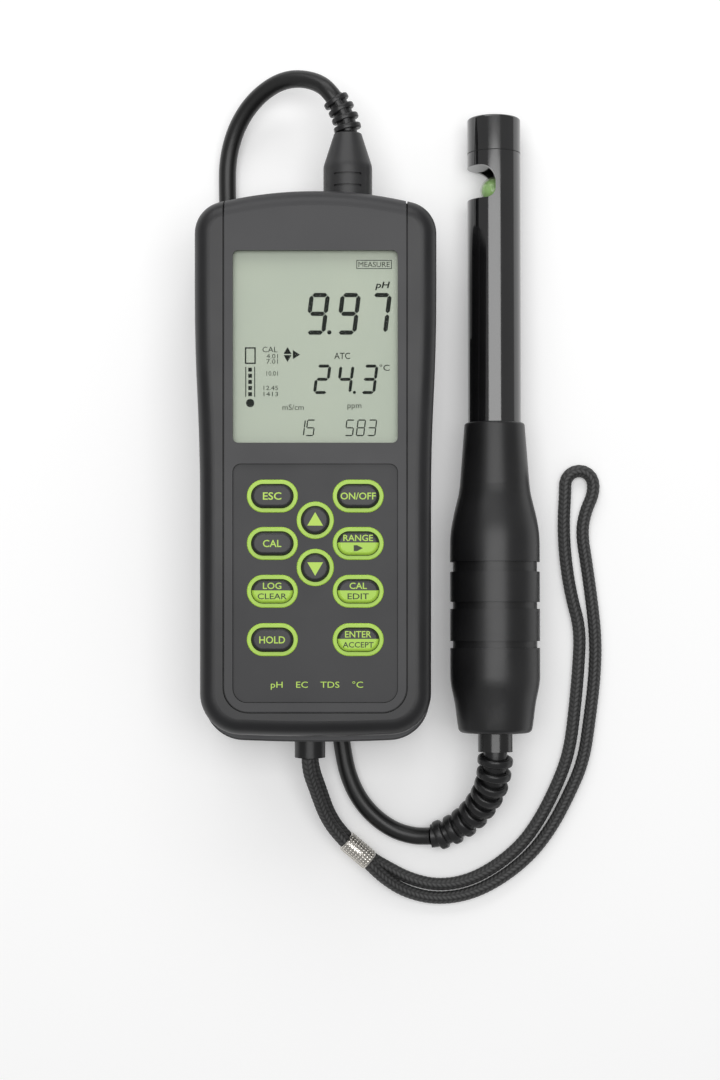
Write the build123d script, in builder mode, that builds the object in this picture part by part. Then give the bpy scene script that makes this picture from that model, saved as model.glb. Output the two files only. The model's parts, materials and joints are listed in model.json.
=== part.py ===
from build123d import *
import math
import os

# A hand-held multiparameter water quality meter, lying face up on a table, with its probe beside it.
# Millimetres. +X to the meter's right, +Y to its display end, +Z up. The table is z = 0.
# The origin is on the table under the middle of the meter and probe together.

os.makedirs("parts", exist_ok=True)

# Housing
meter_length = 200.0
meter_width = 87.0
waist_width = 83.2
meter_height = 50.0
parting_z = 25.0
crown_radius = 150.0
top_corner_r = 11.5
bottom_corner_r = 15.0
bottom_bulge = 1.4
taper_top_y = 0.315 * meter_length
taper_low_y = -0.055 * meter_length
shell_wall = 2.5
back_wall = 3.0
front_round = 6.0
back_round = 3.0

# Grip bumper: a U of rubber round the sides and the keypad end
grip_thickness = 2.5
grip_end_gap = 3.8
panel_half_width = 32.5
panel_end_gap = 13.1
panel_bottom_y = panel_end_gap - meter_length / 2
panel_corner_r = 8.6
groove_width = 0.6
ledge_height = 3.5
ledge_inset = 0.9

# Gasket between the shells
gasket_depth = 1.0
gasket_inset = 1.2
gasket_band = 1.0
gasket_gap = 1.2

# Underside: a raised floor between two rails, which leaves room for the cable
rail_z = 1.0
floor_z = 9.6
floor_thickness = 3.0
rail_width = 5.0
rail_inset = 0.6
rail_end_gap = 12.0
rail_round_gap = 0.2
rail_low_y = rail_end_gap - meter_length / 2
rail_top_y = 0.26 * meter_length
foot_length = 14.0
foot_width = 3.6
foot_seat = 1.2
foot_inset = 14.0
foot_low_y = rail_low_y + foot_inset
foot_top_y = rail_top_y - foot_inset

# Front wall and display
front_wall = 4.0
window_width = 59.0
window_height = 0.344 * meter_length
window_y = 0.218 * meter_length
window_r = 2.0
window_lip = 1.8
lens_thickness = 1.3
lens_border = 1.5
glass_thickness = 2.4
glass_gap = 0.3
glass_border = 0.6
backlight_thickness = 2.2
frame_rim = 2.4
board_thickness = 1.6
board_gap = 1.0
strip_width = 1.8
# The board's parts: place across, share of the meter's length along it, width, length and height
board_chips = (
    (-8.0, -0.06, 14.0, 14.0, 1.6), (12.0, -0.07, 10.0, 7.0, 1.4), (-14.0, -0.2, 9.0, 18.0, 2.4),
    (10.0, -0.21, 7.0, 7.0, 1.2), (16.0, -0.3, 12.0, 6.0, 3.0), (11.5, 0.375, 16.0, 6.0, 3.0),
    (-18.0, 0.15, 5.0, 5.0, 1.2), (-6.0, -0.3, 4.5, 4.5, 3.6),
)

# Keypad
keypad_width = 59.1
keypad_height = 0.4275 * meter_length
keypad_y = -0.205 * meter_length
keypad_top_r = 3.0
keypad_low_r = 5.2
keypad_depth = 2.0
overlay_thickness = 0.8
overlay_gap = 0.15
ring_height = 1.2
ring_length = 18.3
ring_width = 11.8
ring_band = 1.5
round_ring_d = 13.4
key_gap = 0.25
key_rise = 2.6
key_travel = 0.8
key_seat_gap = 0.2
flange_lip = 1.2
flange_thickness = 0.8
nub_d = 5.0
column_x = 15.35
row_shares = (0.3643, 0.1661, -0.0339, -0.2363)
arrow_shares = (0.2632, 0.0655)
ring_round = 0.4
key_round = 1.2
key_dome_height = 3.0
mat_border = 7.0
mat_thickness = 0.8
dome_taper = 12

# Connector at the display end
socket_x = 11.5
socket_face_inset = 1.0
socket_face_y = meter_length / 2 - socket_face_inset
nose_d = 14.4
nose_reach = 8.0
nose_wall = 1.2
socket_flange_d = 17.6
socket_flange = 1.6
seal_thickness = 0.8
saddle_depth = 5.5
saddle_set_back = 2.0
saddle_side = 2.0
saddle_end = 1.5
saddle_y = socket_face_y - saddle_depth
insert_set_back = 1.0
contact_tail = 2.0
contact_floor = 0.8
thread_gap = 0.02
nose_chamfer = 0.4
nut_length = 3.0
nut_d = 19.0
pin_d = 1.5
pin_reach = 5.6
contact_wall = 0.4
pin_count = 6
pin_circle_r = 3.6
fit_gap = 0.3

# Plug
plug_d = 18.0
plug_seat_gap = 0.2
plug_body = 12.9
plug_cone = 12.4
plug_end_d = 10.0
grip_slot_width = 0.8
grip_slot_depth = 0.6
grip_slot_length = 10.0
grip_slots_y = (4.5, 8.8)
plug_relief_rib_d = 9.6
plug_relief_core_d = 7.0
plug_relief_rib = 2.1
plug_relief_pitch = 3.6
plug_relief_lead = 1.0
plug_relief_count = 4
plug_recess_grow = 1.0
plug_end_round = 0.8
plug_shoulder_round = 6.0
plug_insert_hold = 6.0
plug_face_gap = 0.3
skirt_gap = 0.1

# Battery bay and door
cell_d = 14.5
cell_length = 49.5
cell_nub_d = 5.5
cell_nub = 1.0
cell_pitch = 14.7
cell_count = 3
bay_x = 10.5
bay_end_gap = 26.0
contact_gap = 3.75
bay_length = cell_length + cell_nub + 2 * contact_gap
bay_y = meter_length / 2 - bay_end_gap - bay_length / 2
bay_side_gap = 0.3
bay_wall = 1.5
door_thickness = 1.6
door_gasket_thickness = 0.6
door_lap = 1.25
door_edge_gap = 0.3
tab_width = 20.0
tab_length = 13.0
tab_overlap = 2.0
door_rib_count = 9
door_rib_pitch = 3.0
door_rib_length = 26.0
door_rib_width = 1.2
door_rib_depth = 0.4
lock_d = 11.0
lock_rise = 0.4
lock_fit = 0.3
lock_lift = 0.05
lock_shaft_d = 6.0
lock_head = 1.0
cam_thickness = 1.5
cam_gap = 0.2
cam_length = 9.6
cam_width = 4.4
keyhole_d = 10.8
coin_slot_width = 1.4
coin_slot_depth = 0.6
coin_slot_margin = 1.0
leaf_thickness = 0.4
leaf_width = 6.0
leaf_drop = 4.5
leaf_tip = 0.8
leaf_slope = 1.2
leaf_bend = 0.75
leaf_root = 0.733
cell_contact_gap = 0.05
cell_plate = 10.0

# Screws
case_screw_x = 31.0
case_screw_top_gap = 13.8
case_screw_low_gap = 15.4
case_screw_top_y = meter_length / 2 - case_screw_top_gap
case_screw_low_y = case_screw_low_gap - meter_length / 2
case_boss_d = 7.0
case_screw_d = 2.8
case_screw_head_d = 5.4
case_screw_head = 2.2
board_screw_x = 29.0
board_boss_d = 5.6
board_boss_gap = 0.8
board_end_gap = 22.0
board_border = 4.0
board_end = 2.6
board_screw_low_y = board_end_gap - meter_length / 2
board_screw_top_y = (window_y - window_height / 2 - glass_border - frame_rim
                     - board_boss_d / 2 - board_boss_gap)
board_screw_d = 2.2
board_screw_head_d = 4.4
board_screw_head = 1.5
screw_gap = 0.1
screw_head_depth = 1.2
board_pilot_share = 0.8
board_pilot_end = 0.6
case_pilot_share = 0.7
case_pilot_end = 3.7
drive_length = 3.2
drive_width = 0.8
drive_depth = 1.0

# Strap fitting at the keypad end
strap_x = -2.65
strap_z = 17.0
collar_d = 11.4
ferrule_d = 9.4
collar_reach = 6.5
ferrule_flange_d = 13.0
ferrule_flange = 2.0
strap_d = 4.8
crimp_length = 12.0
crimp_height = 11.0
crimp_width = 7.6
crimp_bite = 0.2
strand_spacing = 5.1

# Probe, measured along its own axis from the handle's rear face
probe_spacing = 66.3
probe_set_back = 4.2
handle_r = 16.7
handle_rear_r = 13.4
handle_knee_r = 13.0
handle_front_r = 11.2
handle_length = 115.4
handle_wide_u = 0.1854 * handle_length
handle_shoulder_u = 0.57192 * handle_length
handle_knee_u = 0.799 * handle_length
handle_rise = 0.55
handle_rise_drop = 1.5
handle_neck = ((0.359, 0.095), (0.504, 0.27), (0.66, 0.514), (0.886, 0.892))
handle_front_round = 1.0
handle_rear_round = 2.0
handle_bore_step = 0.4
handle_floor = 4.0
handle_grooves = ((0.2842, 2.6), (0.4099, 2.6), (0.5342, 3.7))
handle_groove_depth = 1.0
gland_d = 13.0
gland_length = 7.0
gland_stem_d = 8.4
gland_stem = 12.0
tube_d = 20.0
tube_wall = 1.8
tube_grip = 18.4
tube_bare = 83.4
slot_length = 12.5
tube_seat_u = handle_length - tube_grip
slot_low_u = handle_length + tube_bare
slot_high_u = slot_low_u + slot_length
slot_upper_r = 6.2
slot_lower_r = 3.5
cap_seam_gap = 5.4
cap_seam_u = slot_high_u + cap_seam_gap
cap_length = 13.2
cap_floor = 3.0
cap_round = 0.8
spigot_length = 8.0
spigot_gap = 0.3
spigot_step = 0.2
bulb_r = 5.2
bulb_gap = 3.2
bulb_top_u = slot_high_u - bulb_gap
bulb_wall = 0.5
stem_d = 7.8
stem_length = 60.0
wire_d = 0.8
wire_reach = 5.0
stem_plug = 4.0
holder_length = 12.0
sensor_circle_r = 6.7
sensor_d = 2.2
sensor_reach = 7.0
sensor_tail = 4.0
sensor_round = 0.6
ec_pin_angle = 48.0
ec_pin_d = 1.4
probe_board_gap = 0.2
probe_board_length = 0.4853 * handle_length
probe_board_u = 0.26 * handle_length
chip_shares = ((0, 0.25), (3, 0.607))
chip_width = 6.0
chip_length = 8.0
chip_height = 1.4
ring_seal_section = 1.0
ring_seal_gap = 5.4
ring_seal_u = handle_length - ring_seal_gap

# Flex relief at the handle
relief_count = 9
relief_d_first = 12.7
relief_d_last = 10.8
relief_core_d = 8.8
relief_rib = 3.2
relief_pitch = 5.0
relief_lead = 1.8
relief_straight = 4.0
relief_meet = 3.0

# Cable
cable_d = 6.5
cable_z = cable_d / 2

# Placing of the meter and the probe about the origin
meter_x = (meter_width / 2 - probe_spacing - handle_r) / 2
probe_x = meter_x + probe_spacing
cap_tip_u = cap_seam_u + cap_length
probe_tilt = math.atan((handle_r - tube_d / 2) / (cap_tip_u - handle_shoulder_u))
probe_reach = (cap_tip_u + gland_length) * math.cos(probe_tilt)
meter_y = -probe_reach / 2 + probe_set_back + meter_length / 2
probe_rear_y = -probe_reach / 2 + gland_length * math.cos(probe_tilt)
probe_rear_z = handle_r * math.cos(probe_tilt) + handle_shoulder_u * math.sin(probe_tilt)

axis_dir = (0, math.cos(probe_tilt), -math.sin(probe_tilt))
up_dir = (0, math.sin(probe_tilt), math.cos(probe_tilt))
probe_origin = Vector(probe_x, probe_rear_y, probe_rear_z)
# The probe's lengthwise plane: its x is across, its y runs along the axis to the tip.
probe_side = Plane(origin=probe_origin, x_dir=(1, 0, 0), z_dir=up_dir)
probe_axis = Axis(probe_origin, axis_dir)


def meter_plane(z):
    """A level plane over the meter's centre, at a height above the table."""
    return Plane(origin=(meter_x, meter_y, z))


def meter_end_plane(y):
    """An upright plane across the meter at a distance along it, facing the display end."""
    return Plane(origin=(meter_x, meter_y + y, 0), x_dir=(-1, 0, 0), z_dir=(0, 1, 0))


def probe_section(u):
    """A plane across the probe, facing its tip. Its x points left and its y up."""
    return Plane(origin=probe_origin + Vector(*axis_dir) * u, x_dir=(-1, 0, 0), z_dir=axis_dir)


def save(piece, name):
    """Labels a finished piece and writes it to its own file."""
    piece.part.label = name
    export_step(piece.part, "parts/" + name + ".step")


def outline(z, end_gap=0.0, inset=0.0, band=0.0):
    """The housing's outline, crowned and wider at the display end; a band keeps only a strip along it."""
    half_top = meter_width / 2
    half_low = waist_width / 2
    corner_y = meter_length / 2 - crown_radius + math.sqrt(crown_radius ** 2 - half_top ** 2)
    low_y = -meter_length / 2 + end_gap
    side_low_y = low_y + bottom_bulge
    middle = ((half_top + half_low) / 2, (taper_top_y + taper_low_y) / 2)
    with BuildSketch(meter_plane(z)) as sketch:
        with BuildLine():
            ThreePointArc((-half_top, corner_y), (0, meter_length / 2), (half_top, corner_y))
            ThreePointArc((-half_low, side_low_y), (0, low_y), (half_low, side_low_y))
            for side in (-1, 1):
                Line((side * half_top, corner_y), (side * half_top, taper_top_y))
                start = (side * half_top, taper_top_y)
                turn = (side * middle[0], middle[1])
                upper = TangentArc(start, turn, tangent=(0, -1))
                TangentArc(turn, (side * half_low, taper_low_y), tangent=upper % 1)
                Line((side * half_low, taper_low_y), (side * half_low, side_low_y))
        make_face()
        fillet(sketch.vertices().group_by(Axis.Y)[-1], top_corner_r)
        fillet(sketch.vertices().group_by(Axis.Y)[0], bottom_corner_r)
        if inset:
            offset(amount=-inset)
        if band:
            offset(amount=-band, mode=Mode.SUBTRACT)
    return sketch.sketch


def panel_outline(z, grow=0.0):
    """The panel inside the U-shaped groove, open past the display end."""
    top_y = meter_length / 2 + front_round
    low_y = panel_bottom_y - grow
    with BuildSketch(meter_plane(z)) as sketch:
        with Locations((0, (top_y + low_y) / 2)):
            Rectangle(2 * (panel_half_width + grow), top_y - low_y)
        fillet(sketch.vertices().group_by(Axis.Y)[0], panel_corner_r + grow)
    return sketch.sketch


# The outer form of the front half, before it is divided into panel and grip
grip_end = grip_end_gap
ledge_z = parting_z + ledge_height
with BuildPart() as front_form:
    extrude(outline(ledge_z, grip_end), amount=meter_height - ledge_z)
    fillet(front_form.faces().sort_by(Axis.Z)[-1].edges(), front_round)

# What lies under the grip
with BuildPart() as under_form:
    extrude(outline(ledge_z, grip_end, grip_thickness), amount=meter_height - grip_thickness - ledge_z)
    fillet(under_form.faces().sort_by(Axis.Z)[-1].edges(), front_round - grip_thickness)

with BuildPart() as panel_form:
    add(front_form.part)
    extrude(panel_outline(ledge_z), amount=meter_height - ledge_z, mode=Mode.INTERSECT)

# Front shell
ceiling_z = meter_height - front_wall
inner_inset = grip_thickness + shell_wall
keypad_floor_z = meter_height - keypad_depth
lens_width = window_width + 2 * lens_border
lens_height = window_height + 2 * lens_border
lens_top_z = meter_height - window_lip
lens_z = lens_top_z - lens_thickness
glass_top_z = lens_z - glass_gap
glass_z = glass_top_z - glass_thickness
backlight_z = glass_z - backlight_thickness
board_top_z = backlight_z - board_gap
board_z = board_top_z - board_thickness
key_head_r = ring_width / 2 - ring_band - key_gap
key_head_length = ring_length - 2 * ring_band - 2 * key_gap
round_key_r = round_ring_d / 2 - ring_band - key_gap
socket_z = parting_z
row_y = [keypad_y + share * keypad_height for share in row_shares]
side_columns = [(side * column_x, y) for y in row_y for side in (-1, 1)]
arrow_places = [(0, keypad_y + share * keypad_height) for share in arrow_shares]
case_screws = [(side * case_screw_x, y) for y in (case_screw_top_y, case_screw_low_y) for side in (-1, 1)]
board_screws_at = [(side * board_screw_x, y) for y in (board_screw_top_y, board_screw_low_y) for side in (-1, 1)]
saddle_width = nut_d + 2 * saddle_side
saddle_height = nut_d / 2 + saddle_end
board_pilot = (ceiling_z - board_top_z) * board_pilot_share
case_pilot = (ceiling_z - parting_z) * case_pilot_share
seal_y = socket_face_y - socket_flange - seal_thickness


def key_holes(z, grow, height, mode):
    """Stadium and round prisms at every key, from a height."""
    with BuildSketch(meter_plane(z)) as sketch:
        with Locations(*side_columns):
            SlotOverall(ring_length - 2 * ring_band + 2 * grow, ring_width - 2 * ring_band + 2 * grow)
        with Locations(*arrow_places):
            Circle(round_ring_d / 2 - ring_band + grow)
    extrude(sketch.sketch, amount=height, mode=mode)


def socket_cuts():
    """The connector's stepped hole and flat face, and the saddle inside, for either shell."""
    for y, diameter, reach in (
        (saddle_y, nose_d + 2 * screw_gap, meter_length / 2 - saddle_y),
        (seal_y, socket_flange_d + 2 * fit_gap, meter_length / 2 - seal_y),
        (socket_face_y, plug_d + 2 * plug_recess_grow, 2 * socket_face_inset),
    ):
        with BuildSketch(meter_end_plane(y)) as hole:
            with Locations((-socket_x, socket_z)):
                Circle(diameter / 2)
        extrude(hole.sketch, amount=reach, mode=Mode.SUBTRACT)


with BuildPart() as front_shell:
    extrude(outline(parting_z, 0, ledge_inset), amount=ledge_height)
    add(under_form.part)
    add(panel_form.part)
    extrude(outline(parting_z, grip_end, inner_inset), amount=ceiling_z - parting_z, mode=Mode.SUBTRACT)
    # Window, with the lens pocket behind it
    with BuildSketch(meter_plane(ceiling_z)) as pocket:
        with Locations((0, window_y)):
            RectangleRounded(lens_width + 2 * screw_gap, lens_height + 2 * screw_gap, window_r)
    extrude(amount=lens_top_z - ceiling_z, mode=Mode.SUBTRACT)
    with BuildSketch(meter_plane(ceiling_z)) as window:
        with Locations((0, window_y)):
            RectangleRounded(window_width, window_height, window_r)
    extrude(amount=front_wall, mode=Mode.SUBTRACT)
    # Keypad recess
    with BuildSketch(meter_plane(keypad_floor_z)) as recess:
        with Locations((0, keypad_y)):
            Rectangle(keypad_width, keypad_height)
        fillet(recess.vertices().group_by(Axis.Y)[-1], keypad_top_r)
        fillet(recess.vertices().group_by(Axis.Y)[0], keypad_low_r)
    extrude(amount=keypad_depth, mode=Mode.SUBTRACT)
    key_holes(ceiling_z, 0.0, front_wall, Mode.SUBTRACT)
    # Bosses for the board and the case screws
    with BuildSketch(meter_plane(board_top_z)) as bosses:
        with Locations(*board_screws_at):
            Circle(board_boss_d / 2)
    extrude(amount=ceiling_z - board_top_z)
    with BuildSketch(meter_plane(parting_z)) as columns:
        with Locations(*case_screws):
            Circle(case_boss_d / 2)
    extrude(amount=ceiling_z - parting_z)
    with BuildSketch(meter_plane(board_top_z)) as pilots:
        with Locations(*board_screws_at):
            Circle(board_screw_d / 2 + screw_gap)
    extrude(amount=board_pilot, mode=Mode.SUBTRACT)
    with BuildSketch(meter_plane(parting_z)) as case_pilots:
        with Locations(*case_screws):
            Circle(case_screw_d / 2 + screw_gap)
    extrude(amount=case_pilot, mode=Mode.SUBTRACT)
    # Saddle for the connector
    with BuildSketch(meter_end_plane(saddle_y)) as saddle:
        with Locations((-socket_x, socket_z + saddle_height / 2)):
            Rectangle(saddle_width, saddle_height)
    extrude(amount=saddle_depth - saddle_set_back)
    socket_cuts()
save(front_shell, "front_shell")

# Grip bumper
with BuildPart() as grip_bumper:
    add(front_form.part)
    add(under_form.part, mode=Mode.SUBTRACT)
    extrude(panel_outline(ledge_z, groove_width), amount=meter_height - ledge_z, mode=Mode.SUBTRACT)
save(grip_bumper, "grip_bumper")

# Back shell
gasket_z = parting_z - gasket_depth
bay_width = cell_pitch * (cell_count - 1) + cell_d + 2 * bay_side_gap
door_z = floor_z
door_top_z = door_z + door_thickness
lip_z = door_top_z + door_gasket_thickness
bay_top_z = door_top_z + bay_side_gap + cell_d + bay_side_gap
door_width = bay_width + 2 * door_lap
door_length = bay_length + 2 * door_lap
door_low_y = bay_y - door_length / 2
tab_y = door_low_y - tab_length / 2
lock_y = tab_y + lock_rise
cam_z = floor_z + floor_thickness + cam_gap
rail_x = waist_width / 2 - rail_inset - rail_width / 2
rail_y = (rail_low_y + rail_top_y) / 2
rail_length = rail_top_y - rail_low_y
foot_places = [(side * rail_x, y) for y in (foot_low_y, foot_top_y) for side in (-1, 1)]
screw_head_z = floor_z + screw_head_depth


def door_outline(z, grow):
    """The battery door's outline: a plate with a tab for its lock."""
    with BuildSketch(meter_plane(z)) as sketch:
        with Locations((bay_x, bay_y)):
            RectangleRounded(door_width + 2 * grow, door_length + 2 * grow, window_r)
        with Locations((bay_x, tab_y + tab_overlap / 2)):
            RectangleRounded(tab_width + 2 * grow, tab_length + tab_overlap + 2 * grow, window_r)
    return sketch.sketch


with BuildPart() as back_shell:
    extrude(outline(floor_z), amount=parting_z - floor_z)
    fillet(back_shell.faces().sort_by(Axis.Z)[0].edges(), back_round)
    extrude(outline(floor_z + floor_thickness, 0, back_wall), amount=parting_z - floor_z, mode=Mode.SUBTRACT)
    with BuildSketch(meter_plane(rail_z)) as rails:
        with Locations((-rail_x, rail_y), (rail_x, rail_y)):
            RectangleRounded(rail_width, rail_length, rail_width / 2 - rail_round_gap)
    extrude(amount=floor_z + floor_thickness - rail_z)
    with BuildSketch(meter_plane(rail_z)) as foot_seats:
        with Locations(*foot_places):
            SlotOverall(foot_length, foot_width, rotation=90)
    extrude(amount=foot_seat, mode=Mode.SUBTRACT)
    # Battery bay
    with BuildSketch(meter_plane(floor_z + floor_thickness)) as bay_block:
        with Locations((bay_x, bay_y)):
            Rectangle(bay_width + 2 * bay_wall, bay_length + 2 * bay_wall)
    extrude(amount=bay_top_z + bay_wall - floor_z - floor_thickness)
    with BuildSketch(meter_plane(floor_z)) as bay_hollow:
        with Locations((bay_x, bay_y)):
            Rectangle(bay_width, bay_length)
    extrude(amount=bay_top_z - floor_z, mode=Mode.SUBTRACT)
    extrude(door_outline(floor_z, door_edge_gap), amount=lip_z - floor_z, mode=Mode.SUBTRACT)
    with BuildSketch(meter_plane(floor_z)) as keyhole:
        with Locations((bay_x, lock_y)):
            Circle(keyhole_d / 2)
    extrude(amount=floor_thickness, mode=Mode.SUBTRACT)
    # Case screw bosses
    with BuildSketch(meter_plane(floor_z)) as back_columns:
        with Locations(*case_screws):
            Circle(case_boss_d / 2)
    extrude(amount=parting_z - floor_z)
    with BuildSketch(meter_plane(floor_z)) as head_seats:
        with Locations(*case_screws):
            Circle(case_screw_head_d / 2 + screw_gap)
    extrude(amount=screw_head_z + case_screw_head - floor_z, mode=Mode.SUBTRACT)
    with BuildSketch(meter_plane(floor_z)) as screw_holes:
        with Locations(*case_screws):
            Circle(case_screw_d / 2 + screw_gap)
    extrude(amount=parting_z - floor_z, mode=Mode.SUBTRACT)
    # Saddle for the connector
    with BuildSketch(meter_end_plane(saddle_y)) as back_saddle:
        with Locations((-socket_x, socket_z - saddle_height / 2)):
            Rectangle(saddle_width, saddle_height)
    extrude(amount=saddle_depth - saddle_set_back)
    socket_cuts()
    # Gasket groove in the rim
    extrude(outline(gasket_z, 0, gasket_inset, gasket_band), amount=parting_z - gasket_z, mode=Mode.SUBTRACT)
    # Hole for the strap's ferrule, through the end wall
    with BuildSketch(meter_end_plane(-meter_length / 2)) as strap_hole:
        with Locations((-strap_x, strap_z)):
            Circle(ferrule_d / 2)
    extrude(amount=back_wall + bottom_bulge, mode=Mode.SUBTRACT)
    with BuildSketch(meter_end_plane(-meter_length / 2 + back_wall)) as ferrule_pocket:
        with Locations((-strap_x, strap_z)):
            Circle(ferrule_flange_d / 2)
    extrude(amount=ferrule_flange, mode=Mode.SUBTRACT)
save(back_shell, "back_shell")

# Gasket between the shells, parted at the connector
with BuildPart() as shell_gasket:
    extrude(outline(gasket_z, 0, gasket_inset, gasket_band), amount=parting_z - gasket_z)
    with BuildSketch(meter_end_plane(saddle_y)) as gap:
        with Locations((-socket_x, socket_z)):
            Circle(plug_d / 2 + gasket_gap)
    extrude(amount=meter_length / 2 - saddle_y, mode=Mode.SUBTRACT)
save(shell_gasket, "shell_gasket")

# Display
with BuildPart() as display_lens:
    with BuildSketch(meter_plane(lens_z)) as lens_face:
        with Locations((0, window_y)):
            RectangleRounded(lens_width, lens_height, window_r)
    extrude(amount=lens_thickness)
save(display_lens, "display_lens")

glass_width = window_width + 2 * glass_border
glass_height = window_height + 2 * glass_border
with BuildPart() as lcd_glass:
    with BuildSketch(meter_plane(glass_z)) as glass_face:
        with Locations((0, window_y)):
            Rectangle(glass_width, glass_height)
    extrude(amount=glass_thickness)
save(lcd_glass, "lcd_glass")

with BuildPart() as backlight_panel:
    with BuildSketch(meter_plane(backlight_z)) as backlight_face:
        with Locations((0, window_y)):
            Rectangle(glass_width, glass_height - 2 * frame_rim)
    extrude(amount=backlight_thickness)
save(backlight_panel, "backlight_panel")

with BuildPart() as lcd_frame:
    with BuildSketch(meter_plane(board_top_z)) as frame_face:
        with Locations((0, window_y)):
            Rectangle(glass_width + 2 * frame_rim, glass_height + 2 * frame_rim)
    extrude(amount=ceiling_z - board_top_z)
    with BuildSketch(meter_plane(backlight_z)) as frame_hollow:
        with Locations((0, window_y)):
            Rectangle(glass_width, glass_height)
    extrude(amount=ceiling_z - backlight_z, mode=Mode.SUBTRACT)
    with BuildSketch(meter_plane(board_top_z)) as frame_slots:
        with Locations((0, window_y - glass_height / 2 + strip_width / 2),
                       (0, window_y + glass_height / 2 - strip_width / 2)):
            Rectangle(glass_width, strip_width)
    extrude(amount=backlight_z - board_top_z, mode=Mode.SUBTRACT)
save(lcd_frame, "lcd_frame")

with BuildPart() as contact_strips:
    with BuildSketch(meter_plane(board_top_z)) as strips_face:
        with Locations((0, window_y - glass_height / 2 + strip_width / 2),
                       (0, window_y + glass_height / 2 - strip_width / 2)):
            Rectangle(glass_width, strip_width)
    extrude(amount=glass_z - board_top_z)
save(contact_strips, "contact_strips")

# Main board with its parts and screws
board_width = 2 * (board_screw_x + board_border)
board_low_y = board_screw_low_y - board_end
board_high_y = window_y + glass_height / 2 + frame_rim
board_y = (board_low_y + board_high_y) / 2
with BuildPart() as main_board:
    with BuildSketch(meter_plane(board_z)) as board_face:
        with Locations((0, board_y)):
            Rectangle(board_width, board_high_y - board_low_y)
        with Locations(*board_screws_at):
            Circle(board_screw_d / 2 + screw_gap, mode=Mode.SUBTRACT)
    extrude(amount=board_thickness)
save(main_board, "main_board")

with BuildPart() as board_parts:
    for x, share, width, length, height in board_chips:
        with BuildSketch(meter_plane(board_z - height)) as chip:
            with Locations((x, share * meter_length)):
                Rectangle(width, length)
        extrude(amount=height)
save(board_parts, "board_parts")

with BuildPart() as board_screws:
    with BuildSketch(meter_plane(board_z - board_screw_head)) as heads:
        with Locations(*board_screws_at):
            Circle(board_screw_head_d / 2)
    extrude(amount=board_screw_head)
    with BuildSketch(meter_plane(board_z)) as shanks:
        with Locations(*board_screws_at):
            Circle(board_screw_d / 2)
    extrude(amount=board_thickness + board_pilot - board_pilot_end)
save(board_screws, "board_screws")

with BuildPart() as case_screws_part:
    with BuildSketch(meter_plane(screw_head_z)) as case_heads:
        with Locations(*case_screws):
            Circle(case_screw_head_d / 2)
    extrude(amount=case_screw_head)
    with BuildSketch(meter_plane(screw_head_z)) as drives:
        with Locations(*case_screws):
            Rectangle(drive_length, drive_width)
            Rectangle(drive_width, drive_length)
    extrude(amount=drive_depth, mode=Mode.SUBTRACT)
    with BuildSketch(meter_plane(screw_head_z + case_screw_head)) as case_shanks:
        with Locations(*case_screws):
            Circle(case_screw_d / 2)
    extrude(amount=parting_z - screw_head_z - case_screw_head + case_pilot - case_pilot_end)
save(case_screws_part, "case_screws")

# Keypad: dome mat, overlay, rings and keys
nub_z = board_top_z + key_dome_height
dome_top_z = nub_z - key_travel
with BuildPart() as dome_mat:
    with BuildSketch(meter_plane(board_top_z)) as mat_face:
        with Locations((0, (row_y[0] + row_y[-1]) / 2)):
            Rectangle(2 * (column_x + mat_border), row_y[0] - row_y[-1] + 2 * mat_border)
    extrude(amount=mat_thickness)
    with BuildSketch(meter_plane(board_top_z + mat_thickness)) as domes:
        with Locations(*side_columns, *arrow_places):
            Circle(nub_d / 2 + key_travel)
    extrude(amount=dome_top_z - board_top_z - mat_thickness, taper=dome_taper)
save(dome_mat, "dome_mat")

with BuildPart() as keypad_overlay:
    with BuildSketch(meter_plane(keypad_floor_z)) as overlay_face:
        with Locations((0, keypad_y)):
            Rectangle(keypad_width - 2 * overlay_gap, keypad_height - 2 * overlay_gap)
        fillet(overlay_face.vertices().group_by(Axis.Y)[-1], keypad_top_r - overlay_gap)
        fillet(overlay_face.vertices().group_by(Axis.Y)[0], keypad_low_r - overlay_gap)
    extrude(amount=overlay_thickness)
    key_holes(keypad_floor_z, ring_band, overlay_thickness, Mode.SUBTRACT)
save(keypad_overlay, "keypad_overlay")

with BuildPart() as key_rings:
    key_holes(keypad_floor_z, ring_band, ring_height, Mode.ADD)
    fillet(key_rings.faces().filter_by(Plane.XY).group_by(Axis.Z)[-1].edges(), ring_round)
    key_holes(keypad_floor_z, 0.0, ring_height, Mode.SUBTRACT)
save(key_rings, "key_rings")

key_low_z = ceiling_z - key_seat_gap - flange_thickness
key_top_z = keypad_floor_z + key_rise


def build_key(name, place, long_key):
    """A key: a domed head in its ring, a flange under the front wall and a nub over its dome."""
    with BuildPart() as key:
        with BuildSketch(meter_plane(key_low_z)) as flange:
            with Locations(place):
                if long_key:
                    SlotOverall(key_head_length + 2 * flange_lip, 2 * (key_head_r + flange_lip))
                else:
                    Circle(round_key_r + flange_lip)
        extrude(amount=flange_thickness)
        with BuildSketch(meter_plane(key_low_z + flange_thickness)) as head:
            with Locations(place):
                if long_key:
                    SlotOverall(key_head_length, 2 * key_head_r)
                else:
                    Circle(round_key_r)
        extrude(amount=key_top_z - key_low_z - flange_thickness)
        fillet(key.faces().sort_by(Axis.Z)[-1].edges(), key_round)
        with BuildSketch(meter_plane(nub_z)) as nub:
            with Locations(place):
                Circle(nub_d / 2)
        extrude(amount=key_low_z - nub_z)
    save(key, name)


key_names = (
    "key_escape", "key_power", "key_calibrate", "key_range",
    "key_log", "key_edit", "key_hold", "key_enter",
)
for name, place in zip(key_names, side_columns):
    build_key(name, place, True)
for name, place in zip(("key_up", "key_down"), arrow_places):
    build_key(name, place, False)

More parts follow.
